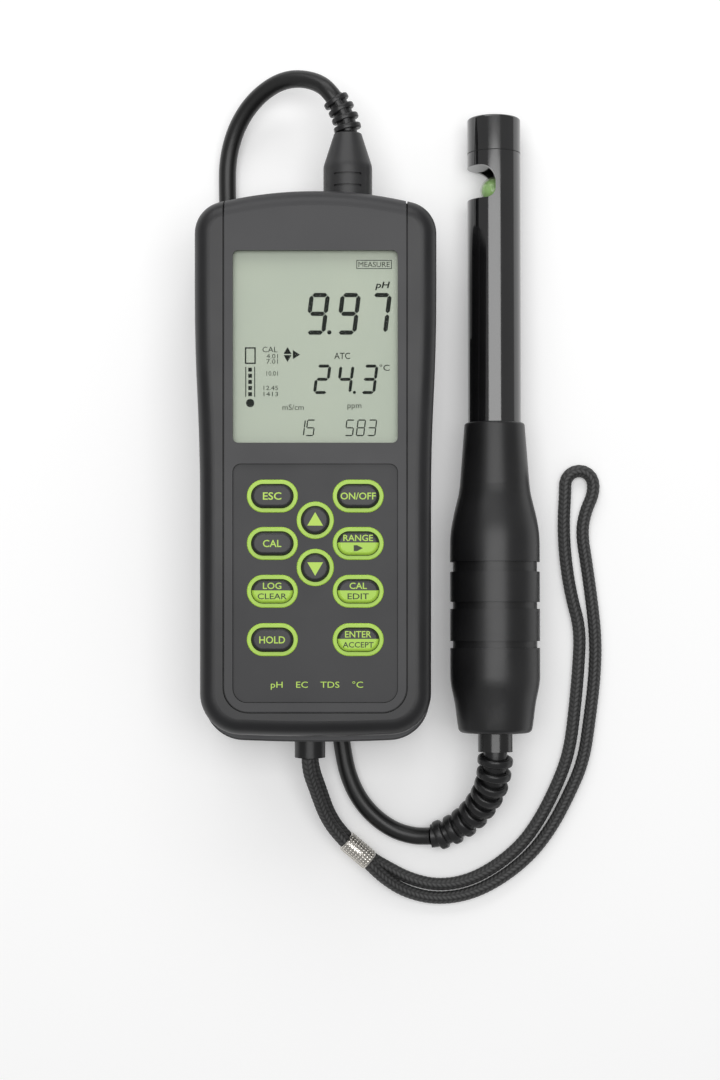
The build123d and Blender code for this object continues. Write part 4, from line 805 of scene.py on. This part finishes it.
@dataclass
class Cable:
    """The probe's cable and its two flex reliefs. Points and sizes are in millimetres."""

    diameter: float = 6.5
    length: float = 343.6
    lift: float = 3.25
    plug_relief_start: Point = (-8.25, 110.35, 25.0)
    plug_relief_bend: Point = (-8.25, 116.37, 25.0)
    plug_relief_end: Point = (-13.3, 123.4, 25.0)
    spine_end: Point = (-13.0, 123.0, 25.0)
    spine_step: float = 0.4
    spine_section: tuple[Flat, ...] = ((-1.3, 3.2), (-1.2, 4.5), (-0.8, 4.75), (0.8, 4.75), (1.2, 4.5),
                                       (1.3, 3.2))
    gland_face: Point = (46.55, -118.35, 19.67)

    def route(self) -> list[Point]:
        """Gives the cable's route from the plug's relief to the handle's."""
        z = self.lift
        return [
            (-13.3, 123.4, 25.0), (-15.6, 126.6, 25.0), (-19.4, 129.6, 22.8), (-24.4, 131.5, 20.2),
            (-30.0, 132.0, 17.7), (-35.9, 130.5, 15.0), (-42.0, 126.7, 11.8), (-47.2, 121.2, 8.8),
            (-51.3, 113.9, 6.0), (-53.9, 104.2, 4.0), (-54.1, 93.8, z), (-53.6, 76.8, z), (-52.4, 48.8, z),
            (-46.8, 18.8, z), (-37.2, -13.2, z), (-26.9, -47.2, z), (-18.1, -79.2, z), (-12.2, -104.2, z),
            (-10.1, -120.8, z), (-8.1, -129.4, z), (-4.3, -137.7, z), (1.6, -144.7, z), (9.0, -149.8, z),
            (16.1, -151.8, z + 0.7), (20.7, -151.9, z + 1.5), (23.1, -151.7, 5.5),
        ]

    def relief_route(self) -> list[Point]:
        """Gives the handle relief's route, from the gland down to the cable's end."""
        return [self.gland_face, (46.55, -122.35, 19.83), (46.0, -127.4, 18.6), (44.9, -132.8, 15.9),
                (42.5, -137.8, 12.7), (39.2, -142.7, 9.8), (34.8, -146.9, 7.6), (30.1, -149.9, 6.2),
                (26.05, -151.45, 5.74), (23.1, -151.7, 5.5)]

    def relief(self, name: str, points: Sequence[Point], tree: NodeTree, sizes: dict[str, float]) -> Object:
        """Makes a ribbed relief along its route.

        Args:
            name: the piece's name.
            points: its route.
            tree: the rib tree.
            sizes: the tree's inputs, in metres.

        Returns:
            The relief.
        """
        finish = Finishes.RELIEF_PLASTIC
        inputs = {**sizes, "Material": finish.material()}
        mesh = grown(nurbs_route(name + "_line", points), name, tree, inputs)
        return piece_from(name, mesh, finish, Body.LEAD)

    def spine(self) -> Object:
        """Makes the flat strip that joins the plug relief's ribs along the top.

        Returns:
            The strip.
        """
        line = even_line("spine_line", [self.plug_relief_start, self.plug_relief_bend, self.spine_end],
                         self.spine_step * MM)
        builder = bmesh.new()
        rows = []
        for i, centre in enumerate(line):
            side = heading(line, i).cross(UP)
            rows.append([builder.verts.new(centre + side * (x * MM) + Vector((0, 0, z * MM)))
                         for x, z in self.spine_section])
        skin(builder, rows, closed=False)
        for end in (rows[0], rows[-1]):
            builder.faces.new(end)
        mesh = mesh_of("plug_relief_spine", builder, outward=True)
        return piece_from("plug_relief_spine", mesh, Finishes.RELIEF_PLASTIC, Body.LEAD)

    def build(self) -> None:
        tree = rib_tree()
        plug_points = [self.plug_relief_start, self.plug_relief_bend, self.plug_relief_end]
        plug = self.relief("plug_relief_ribs", plug_points, tree,
                           {"Count": 4, "First Radius": 4.8 * MM, "Last Radius": 4.6 * MM,
                            "Core Radius": 3.5 * MM, "Rib Width": 2.1 * MM, "Edge Round": 0.6 * MM,
                            "Start": 0.14, "End": 0.9})
        spine = self.spine()
        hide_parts("plug_relief")
        handle = self.relief("handle_relief_ribs", self.relief_route(), tree,
                             {"Count": 9, "First Radius": 6.35 * MM, "Last Radius": 5.4 * MM,
                              "Core Radius": 4.4 * MM, "Rib Width": 3.2 * MM, "Edge Round": 1.0 * MM,
                              "Start": 0.07, "End": 0.92})
        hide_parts("handle_relief")
        cable = nurbs_route("cable", self.route())
        cable.data.bevel_depth = self.diameter / 2 * MM
        cable.data.bevel_resolution = 8
        cable.data.use_fill_caps = True
        cable.data.materials.append(Finishes.CABLE_JACKET.material())
        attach(cable, Body.LEAD.value)
        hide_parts("probe_cable")


@dataclass
class Strap:
    """The braided wrist strap, folded double, with its crimp. Points and sizes are in millimetres."""

    diameter: float = 4.8
    length: float = 539.0
    pitch: float = 1.8
    columns: int = 8
    relief: float = 0.2
    lean: float = 0.9
    roundness: float = 0.6
    edge_height: float = 0.45
    sides: int = 32
    step: float = 0.3
    low: float = 2.4
    crimp_centre: Point = (-4.6, -157.08, 5.75)
    crimp_along: Point = (0.761, -0.649, -0.027)
    crimp_length: float = 12.0
    crimp_height: float = 10.7
    crimp_width: float = 7.2
    crimp_sides: int = 64
    # The rim at each end: how far back from the end, and how far out from the sleeve's wall
    crimp_rim: tuple[Flat, ...] = ((0.6, -1.1), (0.0, -0.9), (0.0, -0.3), (0.3, 0.0))
    bump_rows: int = 9
    bumps_round: int = 22
    bump_margin: float = 0.9
    bump_radius: float = 0.62
    bump_flatness: float = 0.45

    def route(self) -> list[Point]:
        """Gives the strap's route from the ferrule, round its far fold and back."""
        z = self.low
        return [
            (-23.2, -120.7, 19.4), (-23.1, -125.3, 18.9), (-20.7, -132.4, 15.7), (-16.4, -145.0, 10.7),
            (-9.3, -153.9, 8.4), (-0.8, -161.3, 8.1), (5.0, -167.3, 6.1), (13.1, -172.9, 3.6),
            (24.5, -176.0, z),
            (37.2, -174.5, z), (49.2, -168.8, z), (60.7, -159.7, z), (68.9, -149.1, z), (75.6, -136.4, z),
            (81.2, -123.5, z), (83.6, -106.5, z), (85.3, -92.1, z), (85.8, -77.6, z), (84.2, -62.5, z),
            (82.2, -48.4, z), (80.4, -37.0, z), (81.8, -29.0, z), (84.85, -22.3, z), (84.85, -16.7, z),
            (81.7, -13.55, z), (77.3, -13.55, z), (74.15, -16.7, z), (74.15, -22.4, z), (73.5, -33.0, z),
            (74.1, -46.0, z), (76.3, -60.5, z), (79.9, -73.5, z), (79.2, -88.5, z), (77.8, -104.0, z),
            (75.8, -120.0, z), (71.2, -132.6, z), (64.3, -146.2, z), (57.0, -156.1, z), (46.5, -164.5, z),
            (35.7, -169.6, z), (24.9, -170.8, z), (15.0, -168.3, z), (7.1, -164.2, 2.5), (0.1, -160.1, 3.1),
            (-8.4, -153.0, 3.4), (-15.1, -144.3, 5.5), (-19.1, -131.9, 10.3), (-21.4, -124.9, 13.4),
            (-21.7, -120.7, 14.6),
        ]

    def strand(self, along: float, turn: float) -> float:
        """Gives the height of the herringbone at a place on the cord.

        Args:
            along: the distance along the cord, in metres.
            turn: the share of a turn round it.

        Returns:
            A value from 0 between strands to 1 on a strand's back.
        """
        column = turn * self.columns
        across = column % 1.0
        lean = self.lean if int(column) % 2 else -self.lean
        phase = along / (self.pitch * MM) + lean * (across - 0.5)
        ridge = abs(math.sin(math.pi * phase)) ** self.roundness
        crown = math.sin(math.pi * across) ** self.roundness
        return ridge * (self.edge_height + (1 - self.edge_height) * crown)

    def braid(self, line: Sequence[Vector]) -> Mesh:
        """Sweeps the braided section along a line, with frames that don't twist.

        Args:
            line: the centreline's points, in metres.

        Returns:
            A closed tube with flat ends, which holds the height of its strands.
        """
        builder = bmesh.new()
        layer = builder.verts.layers.float.new("strand_height")
        radius = self.diameter / 2 * MM
        along = (line[1] - line[0]).normalized()
        side = along.orthogonal().normalized()
        rings, travelled = [], 0.0
        for i, centre in enumerate(line):
            new_along = heading(line, i)
            side = (along.rotation_difference(new_along) @ side).normalized()
            along = new_along
            other = along.cross(side)
            if i:
                travelled += (centre - line[i - 1]).length
            ring = []
            for j in range(self.sides):
                turn = j / self.sides
                height = self.strand(travelled, turn)
                reach = radius - self.relief * MM * (1 - height)
                angle = math.tau * turn
                spot = centre + side * (reach * math.cos(angle)) + other * (reach * math.sin(angle))
                vertex = builder.verts.new(spot)
                vertex[layer] = height
                ring.append(vertex)
            rings.append(ring)
        skin(builder, rings)
        builder.faces.new(list(reversed(rings[0])))
        builder.faces.new(rings[-1])
        return mesh_of("strap", builder)

    def sleeve(self, stations: Sequence[Flat], count: int) -> Mesh:
        """Makes rows of faces round the crimp's stadium section.

        Args:
            stations: each ring's place from the crimp's middle, and how far out it is from the wall.
            count: the points in a ring.

        Returns:
            The rows, open at both ends.
        """
        along = Vector(self.crimp_along).normalized()
        up = (UP - along * along.z).normalized()
        side = along.cross(up)
        flat = (self.crimp_height - self.crimp_width) / 2 * MM
        builder = bmesh.new()
        rings = []
        for place, out in stations:
            centre = Vector(self.crimp_centre) * MM + along * (place * MM)
            radius = (self.crimp_width / 2 + out) * MM
            arc = math.pi * radius
            half_round = arc + 2 * flat
            ring = []
            for i in range(count):
                far_side, reach = divmod(2 * half_round * i / count, half_round)
                if reach < arc:
                    angle = reach / radius
                    spot = side * (radius * math.cos(angle)) + up * (flat + radius * math.sin(angle))
                else:
                    spot = side * -radius + up * (flat - (reach - arc))
                ring.append(builder.verts.new(centre + (-spot if far_side else spot)))
            rings.append(ring)
        skin(builder, rings)
        return mesh_of("sleeve", builder, outward=True)

    def crimp(self) -> Object:
        """Makes the knurled sleeve that grips both strands.

        Returns:
            The crimp.
        """
        half = self.crimp_length / 2
        rims = [(back - half, out) for back, out in self.crimp_rim]
        rims += [(half - back, out) for back, out in reversed(self.crimp_rim)]
        run = self.crimp_length - 2 * self.bump_margin
        rows = [(self.bump_margin - half + run * i / (self.bump_rows - 1), 0.0)
                for i in range(self.bump_rows)]
        finish = Finishes.PLATED_METAL
        bumps = grown(in_scene("knurl", self.sleeve(rows, self.bumps_round)), "knurl", knurl_tree(),
                      {"Bump Radius": self.bump_radius * MM, "Bump Height": self.bump_flatness,
                       "Material": finish.material()})
        whole = merged("strap_crimp_knurled", [self.sleeve(rims, self.crimp_sides), bumps])
        return piece_from("strap_crimp_knurled", whole, finish, Body.METER)

    def build(self) -> None:
        line = even_line("strap_line", self.route(), self.step * MM)
        strap = piece_from("strap", self.braid(line), Finishes.BRAIDED_CORD, Body.METER)
        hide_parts("strap_cord")
        crimp = self.crimp()
        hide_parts("strap_crimp")


@dataclass(frozen=True)
class Numerals:
    """A size of seven-segment numerals, in millimetres. Their gaps are a share of the stroke."""

    wide: float
    tall: float
    stroke: float
    pitch: float
    slant: float = math.tan(math.radians(7))
    gap_share: float = 0.1

    SEGMENTS = {"0": "abcdef", "1": "bc", "2": "abged", "3": "abgcd", "4": "fgbc", "5": "afgcd",
                "6": "afgedc", "7": "abc", "8": "abcdefg", "9": "abcdfg"}

    def digit(self, number: str, left: float, low: float) -> list[list[Flat]]:
        """Gives the slanted segments of one digit.

        Args:
            number: the digit.
            left: its lower left corner's x.
            low: its lower left corner's y.

        Returns:
            The outlines of its lit segments.
        """
        wide, tall, half, gap = self.wide, self.tall, self.stroke / 2, self.stroke * self.gap_share
        mid = tall / 2
        level = {"a": tall - half, "g": mid, "d": half}
        upright = {"f": (half, mid, tall - half), "b": (wide - half, mid, tall - half),
                   "e": (half, half, mid), "c": (wide - half, half, mid)}
        made = []
        for name in self.SEGMENTS[number]:
            if name in level:
                y, start, end = level[name], half + gap, wide - half - gap
                outline = [(start, y), (start + half, y - half), (end - half, y - half), (end, y),
                           (end - half, y + half), (start + half, y + half)]
            else:
                x, start, end = upright[name]
                start, end = start + gap, end - gap
                outline = [(x, start), (x + half, start + half), (x + half, end - half), (x, end),
                           (x - half, end - half), (x - half, start + half)]
            made.append([(left + x + y * self.slant, low + y) for x, y in outline])
        return made

    def row(self, digits: str, left: float, low: float) -> list[list[Flat]]:
        """Gives the segments of digits set side by side."""
        return [outline for i, digit in enumerate(digits)
                for outline in self.digit(digit, left + self.pitch * i, low)]


def disc(x: float, y: float, radius: float) -> list[Flat]:
    """Gives a round outline."""
    return [(x + radius * math.cos(math.tau * i / 24), y + radius * math.sin(math.tau * i / 24))
            for i in range(24)]


def block(left: float, low: float, right: float, high: float) -> list[Flat]:
    """Gives a rectangular outline."""
    return [(left, low), (right, low), (right, high), (left, high)]


def border(left: float, low: float, right: float, high: float, stroke: float) -> list[list[Flat]]:
    """Gives the four bars of a box drawn with a line."""
    return [block(left, low, right, low + stroke), block(left, high - stroke, right, high),
            block(left, low + stroke, left + stroke, high - stroke),
            block(right - stroke, low + stroke, right, high - stroke)]


@dataclass
class Display:
    """What the display shows. Places are millimetres from the meter's centre, heights from the floor."""

    centre: Flat
    level: float = 46.63
    large: Numerals = Numerals(7.3, 15.0, 1.55, 11.1)
    middle: Numerals = Numerals(5.4, 10.6, 1.1, 8.3)
    small: Numerals = Numerals(3.1, 6.0, 0.46, 4.0)
    small_close: Numerals = Numerals(3.1, 6.0, 0.46, 3.5)
    middle_base: float = 26.8
    small_base: float = 11.7
    electrode_cap: tuple[float, ...] = (-25.3, 37.6, -21.4, 43.6, 0.5)
    electrode_legs: Flat = (-25.15, -21.95)
    leg_ends: Flat = (25.8, 36.6)
    leg_width: float = 0.35
    bar_sides: Flat = (-24.1, -22.75)
    bar_top: float = 36.3
    bar_pitch: float = 2.2
    bar_height: float = 1.45
    bar_count: int = 5
    word_box: tuple[float, ...] = (14.7, 71.7, 27.4, 74.9, 0.25)
    shapes: list[list[Flat]] = field(default_factory=list)
    thin_shapes: list[list[Flat]] = field(default_factory=list)

    def readings(self) -> None:
        """Adds the large, middle and small numbers with their points."""
        self.shapes += self.large.row("997", -3.8, 48.1)
        self.shapes.append(disc(5.0, 48.95, 0.78))
        self.shapes += self.middle.row("24", -0.9, self.middle_base)
        self.shapes += self.middle.row("3", 16.0, self.middle_base)
        self.shapes.append(disc(14.0, 27.4, 0.56))
        self.thin_shapes += self.small_close.row("15", -7.2, self.small_base)
        self.thin_shapes += self.small.row("583", 10.4, self.small_base)

    def symbols(self) -> None:
        """Adds the electrode symbol, the three arrowheads beside it and the box round a word."""
        self.shapes += border(*self.electrode_cap)
        for x in self.electrode_legs:
            self.shapes.append(block(x, self.leg_ends[0], x + self.leg_width, self.leg_ends[1]))
        for i in range(self.bar_count):
            top = self.bar_top - self.bar_pitch * i
            self.shapes.append(block(self.bar_sides[0], top - self.bar_height, self.bar_sides[1], top))
        self.shapes.append(disc(-23.4, 23.6, 1.5))
        self.shapes.append([(-11.45, 41.2), (-8.55, 41.2), (-10.0, 43.7)])
        self.shapes.append([(-10.0, 38.3), (-8.55, 40.8), (-11.45, 40.8)])
        self.shapes.append([(-8.1, 39.3), (-5.5, 40.95), (-8.1, 42.6)])
        self.thin_shapes += border(*self.word_box)

    def words(self, plate: Plate) -> tuple[list[Mesh], list[Mesh]]:
        """Makes the units and the small generic words.

        Args:
            plate: the glass that they lie on.

        Returns:
            The dark words' meshes and the faint ones'.
        """
        dark = [(Lettering("pH", 3.1, 5.4, 0.02, 0.2), (24.1, 65.6)),
                (Lettering("ATC", 2.3, 5.7, 0.006), (9.6, 40.5)),
                (Lettering("°C", 2.3, 3.7, 0.006), (24.8, 36.3)),
                (Lettering("CAL", 2.0, 5.4, 0.0), (-16.3, 42.8))]
        faint = [(Lettering(text, height, width, 0.0), (x, y)) for text, height, width, x, y in (
            ("4.01", 1.6, 4.1, -15.5, 40.4), ("7.01", 1.6, 4.1, -15.5, 38.5),
            ("10.01", 1.6, 4.1, -15.5, 34.2), ("12.45", 1.6, 5.2, -16.0, 29.0),
            ("1413", 1.6, 5.2, -16.0, 26.8), ("mS/cm", 2.0, 7.6, -8.0, 22.1),
            ("ppm", 2.0, 5.0, 14.0, 22.1), ("MEASURE", 1.9, 11.2, 21.05, 73.3))]
        return [word.mesh(at, plate) for word, at in dark], [word.mesh(at, plate) for word, at in faint]

    def build(self) -> None:
        """Makes the two display pieces, dark segments and faint ones."""
        self.readings()
        self.symbols()
        plate = Plate(self.centre, self.level)
        dark, faint = self.words(plate)
        dark.append(plate.faces("segments", self.shapes))
        faint.append(plate.faces("small_segments", self.thin_shapes))
        for name, meshes, finish in (("display_segments", dark, Finishes.SEGMENT),
                                     ("display_small_segments", faint, Finishes.SMALL_SEGMENT)):
            piece_from(name, merged(name, meshes), finish, Body.METER, "lcd_glass", smooth=False)


@dataclass(frozen=True)
class KeyPrint:
    """One key's print: its node, its side (-1 left, 0 middle, 1 right), its row and its words."""

    node: str
    side: int
    row: int
    kind: Legend
    upper: Lettering | None = None
    lower: Lettering | None = None


@dataclass
class Keypad:
    """The keypad's printed keys. Places are millimetres from the meter's centre or from a key's own."""

    centre: Flat
    column: float = 15.35
    rows: tuple[float, ...] = (-9.85, -26.8, -43.9, -61.2)
    arrow_rows: tuple[float, ...] = (-18.5, -35.4)
    top: float = 50.62
    film_top: float = 48.82
    split_rise: float = 0.35
    upper_rise: float = 2.0
    lower_drop: float = 1.75
    bright_half: str = "#a9d248"
    side_arrow: tuple[Flat, ...] = ((-1.6, -2.7), (-0.4, -2.7), (1.7, -1.65), (-0.4, -0.6), (-1.6, -0.6))
    arrow_half: float = 2.8
    arrow_foot: float = 1.9
    arrow_tip: float = 2.9
    line: Lettering = Lettering("pH    EC    TDS    °C", 3.0, 33.0, 0.0)
    line_at: Flat = (0.6, -77.6)
    groove_at: float = 32.8
    groove_end: float = 95.6
    groove_level: float = 37.0
    groove_fill: Point = (0.56, 6.0, 14.0)
    keys: tuple[KeyPrint, ...] = (
        KeyPrint("key_escape", -1, 0, Legend.PLAIN, Lettering("ESC", 2.7, 6.6)),
        KeyPrint("key_power", 1, 0, Legend.PLAIN, Lettering("ON/OFF", 2.5, 12.6)),
        KeyPrint("key_calibrate", -1, 1, Legend.PLAIN, Lettering("CAL", 2.6, 6.6)),
        KeyPrint("key_range", 1, 1, Legend.SPLIT, Lettering("RANGE", 2.3, 10.6)),
        KeyPrint("key_log", -1, 2, Legend.SPLIT, Lettering("LOG", 2.3, 6.6), Lettering("CLEAR", 2.1, 10.4)),
        KeyPrint("key_edit", 1, 2, Legend.SPLIT, Lettering("CAL", 2.3, 6.2), Lettering("EDIT", 2.1, 7.6)),
        KeyPrint("key_hold", -1, 3, Legend.PLAIN, Lettering("HOLD", 2.6, 9.2)),
        KeyPrint("key_enter", 1, 3, Legend.SPLIT, Lettering("ENTER", 2.3, 9.4),
                 Lettering("ACCEPT", 2.0, 11.0)),
        KeyPrint("key_up", 0, 0, Legend.UP),
        KeyPrint("key_down", 0, 1, Legend.DOWN))

    def two_tone(self, key: KeyPrint, y: float) -> None:
        """Dresses a key in black over lime.

        Args:
            key: the key.
            y: its middle.
        """
        base = Finishes.KEY_RUBBER.value
        level = (y + self.split_rise + self.centre[1]) * MM
        finish = BandedFinish(key.node + "_two_tone", base.colour, base.second, base.roughness,
                              grain=base.grain, depth=base.depth, below=self.bright_half, axis="Y",
                              level=level)
        dress(key.node, finish.build())

    def print_key(self, key: KeyPrint) -> None:
        """Dresses one key and adds its print.

        Args:
            key: the key.
        """
        x, y = key.side * self.column, (self.rows if key.side else self.arrow_rows)[key.row]
        plate = Plate(self.centre, self.top)

        def add(part: str, mesh: Mesh, finish: Finishes) -> None:
            """Adds a piece to the key's head."""
            piece_from(key.node + part, mesh, finish, key.node + "_body", "key_rubber", smooth=False)

        if key.kind is Legend.SPLIT:
            self.two_tone(key, y)
            add("_upper_word", key.upper.mesh((x, y + self.upper_rise), plate), Finishes.LIME_PRINT)
            if key.lower:
                add("_lower_word", key.lower.mesh((x, y - self.lower_drop), plate), Finishes.DARK_PRINT)
            else:
                arrow = [(x + across, y + along) for across, along in self.side_arrow]
                add("_arrow", plate.faces("arrow", [arrow]), Finishes.DARK_PRINT)
        elif key.kind is Legend.PLAIN:
            add("_word", key.upper.mesh((x, y), plate), Finishes.LIME_PRINT)
        else:
            way = 1 if key.kind is Legend.UP else -1
            foot = y - self.arrow_foot * way
            tip = (x, y + self.arrow_tip * way)
            corners = [(x - self.arrow_half, foot), (x + self.arrow_half, foot), tip]
            add("_arrow", plate.faces("arrow", [corners[::way]]), Finishes.LIME_PRINT)

    def fill_grooves(self) -> None:
        """Closes the ends of the two grooves beside the panel, under its brow."""
        builder = bmesh.new()
        for side in (-1, 1):
            x = self.centre[0] + side * self.groove_at
            y = self.centre[1] + self.groove_end - self.groove_fill[1] / 2
            centre = Vector((x, y, self.groove_level)) * MM
            size = Matrix.Diagonal((*(v * MM for v in self.groove_fill), 1.0))
            bmesh.ops.create_cube(builder, size=1.0, matrix=Matrix.Translation(centre) @ size)
        mesh = mesh_of("panel_groove_ends", builder)
        piece_from("panel_groove_ends", mesh, Finishes.SEAL_RUBBER, Body.METER, "grip_rubber", smooth=False)

    def build(self) -> None:
        """Prints every key and the line under them, and closes the grooves."""
        for key in self.keys:
            self.print_key(key)
        self.fill_grooves()
        piece_from("keypad_line", self.line.mesh(self.line_at, Plate(self.centre, self.film_top)),
                   Finishes.LIME_PRINT, Body.METER, "keypad_film", smooth=False)


@dataclass
class Probe:
    """The probe's small additions. Sizes are in millimetres along its own axis from the handle's rear."""

    origin: Point = (46.55, -111.357, 19.382)
    tilt: float = math.atan(6.7 / 163.9)
    sides: int = 48
    tube_radius: float = 10.0
    seam_at: float = 216.7
    seam_width: float = 0.3
    seam_rise: float = 0.01
    seam_crown: float = 0.02
    bulb_at: float = 202.9
    bulb_steps: int = 16
    gel_radius: float = 4.5
    neck_radius: float = 2.7
    neck_back: float = 4.0
    bulb_back: float = 3.4

    def spot(self, along: float, across: float, up: float) -> Vector:
        """Gives a point beside the probe's axis.

        Args:
            along: its place along the axis.
            across: its distance to the right.
            up: its distance above.

        Returns:
            The point, in metres.
        """
        forward = Vector((0.0, math.cos(self.tilt), -math.sin(self.tilt)))
        above = Vector((0.0, math.sin(self.tilt), math.cos(self.tilt)))
        return (Vector(self.origin) + forward * along + Vector((across, 0, 0)) + above * up) * MM

    def lathe(self, name: str, profile: Sequence[Flat]) -> Mesh:
        """Turns a profile of distance along and radius round the probe's axis.

        Args:
            name: the mesh's name.
            profile: the profile's points.

        Returns:
            The turned mesh.
        """
        builder = bmesh.new()
        turns = [math.tau * i / self.sides for i in range(self.sides)]
        rings = [[builder.verts.new(self.spot(along, radius * math.cos(turn), radius * math.sin(turn)))
                  for turn in turns] for along, radius in profile]
        skin(builder, rings)
        builder.faces.new(rings[0])
        builder.faces.new(rings[-1])
        return mesh_of(name, builder, outward=True)

    def build(self) -> None:
        """Makes the cap's seam and the gel inside the electrode's bulb."""
        half = self.seam_width / 2
        outer = self.tube_radius + self.seam_rise
        seam = self.lathe("cap_seam", [(self.seam_at - half, outer), (self.seam_at, outer + self.seam_crown),
                                       (self.seam_at + half, outer)])
        piece_from("cap_seam", seam, Finishes.SEAM, Body.CAP, "seal_rubber")
        profile = [(self.bulb_at - self.neck_back, self.neck_radius)]
        for i in range(1, self.bulb_steps):
            angle = math.pi * i / self.bulb_steps
            radius = self.gel_radius * math.sin(angle)
            along = self.bulb_at - self.gel_radius * math.cos(angle)
            if along > self.bulb_at - self.bulb_back or radius > self.neck_radius:
                profile.append((along, radius))
        piece_from("electrode_gel", self.lathe("electrode_gel", profile), Finishes.GEL, Body.LEAD,
                   "electrode_glass")


def dress_nodes() -> None:
    """Gives every frame node the finish of its slot."""
    for entry in frame["record"]["subparts"]:
        dress(entry["node"], Finishes[entry["material_slot"].upper()].material())


def main() -> None:
    """Builds the studio, the cords and every sub-assembly in order."""
    logging.basicConfig(level=logging.INFO, format="%(name)s %(message)s")
    low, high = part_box("back_shell")
    centre = ((low[0] + high[0]) / 2 / MM, (low[1] + high[1]) / 2 / MM)
    Studio().build()
    Cable().build()
    Strap().build()
    dress_nodes()
    Display(centre).build()
    Keypad(centre).build()
    Probe().build()


if __name__ == "__main__":
    main()
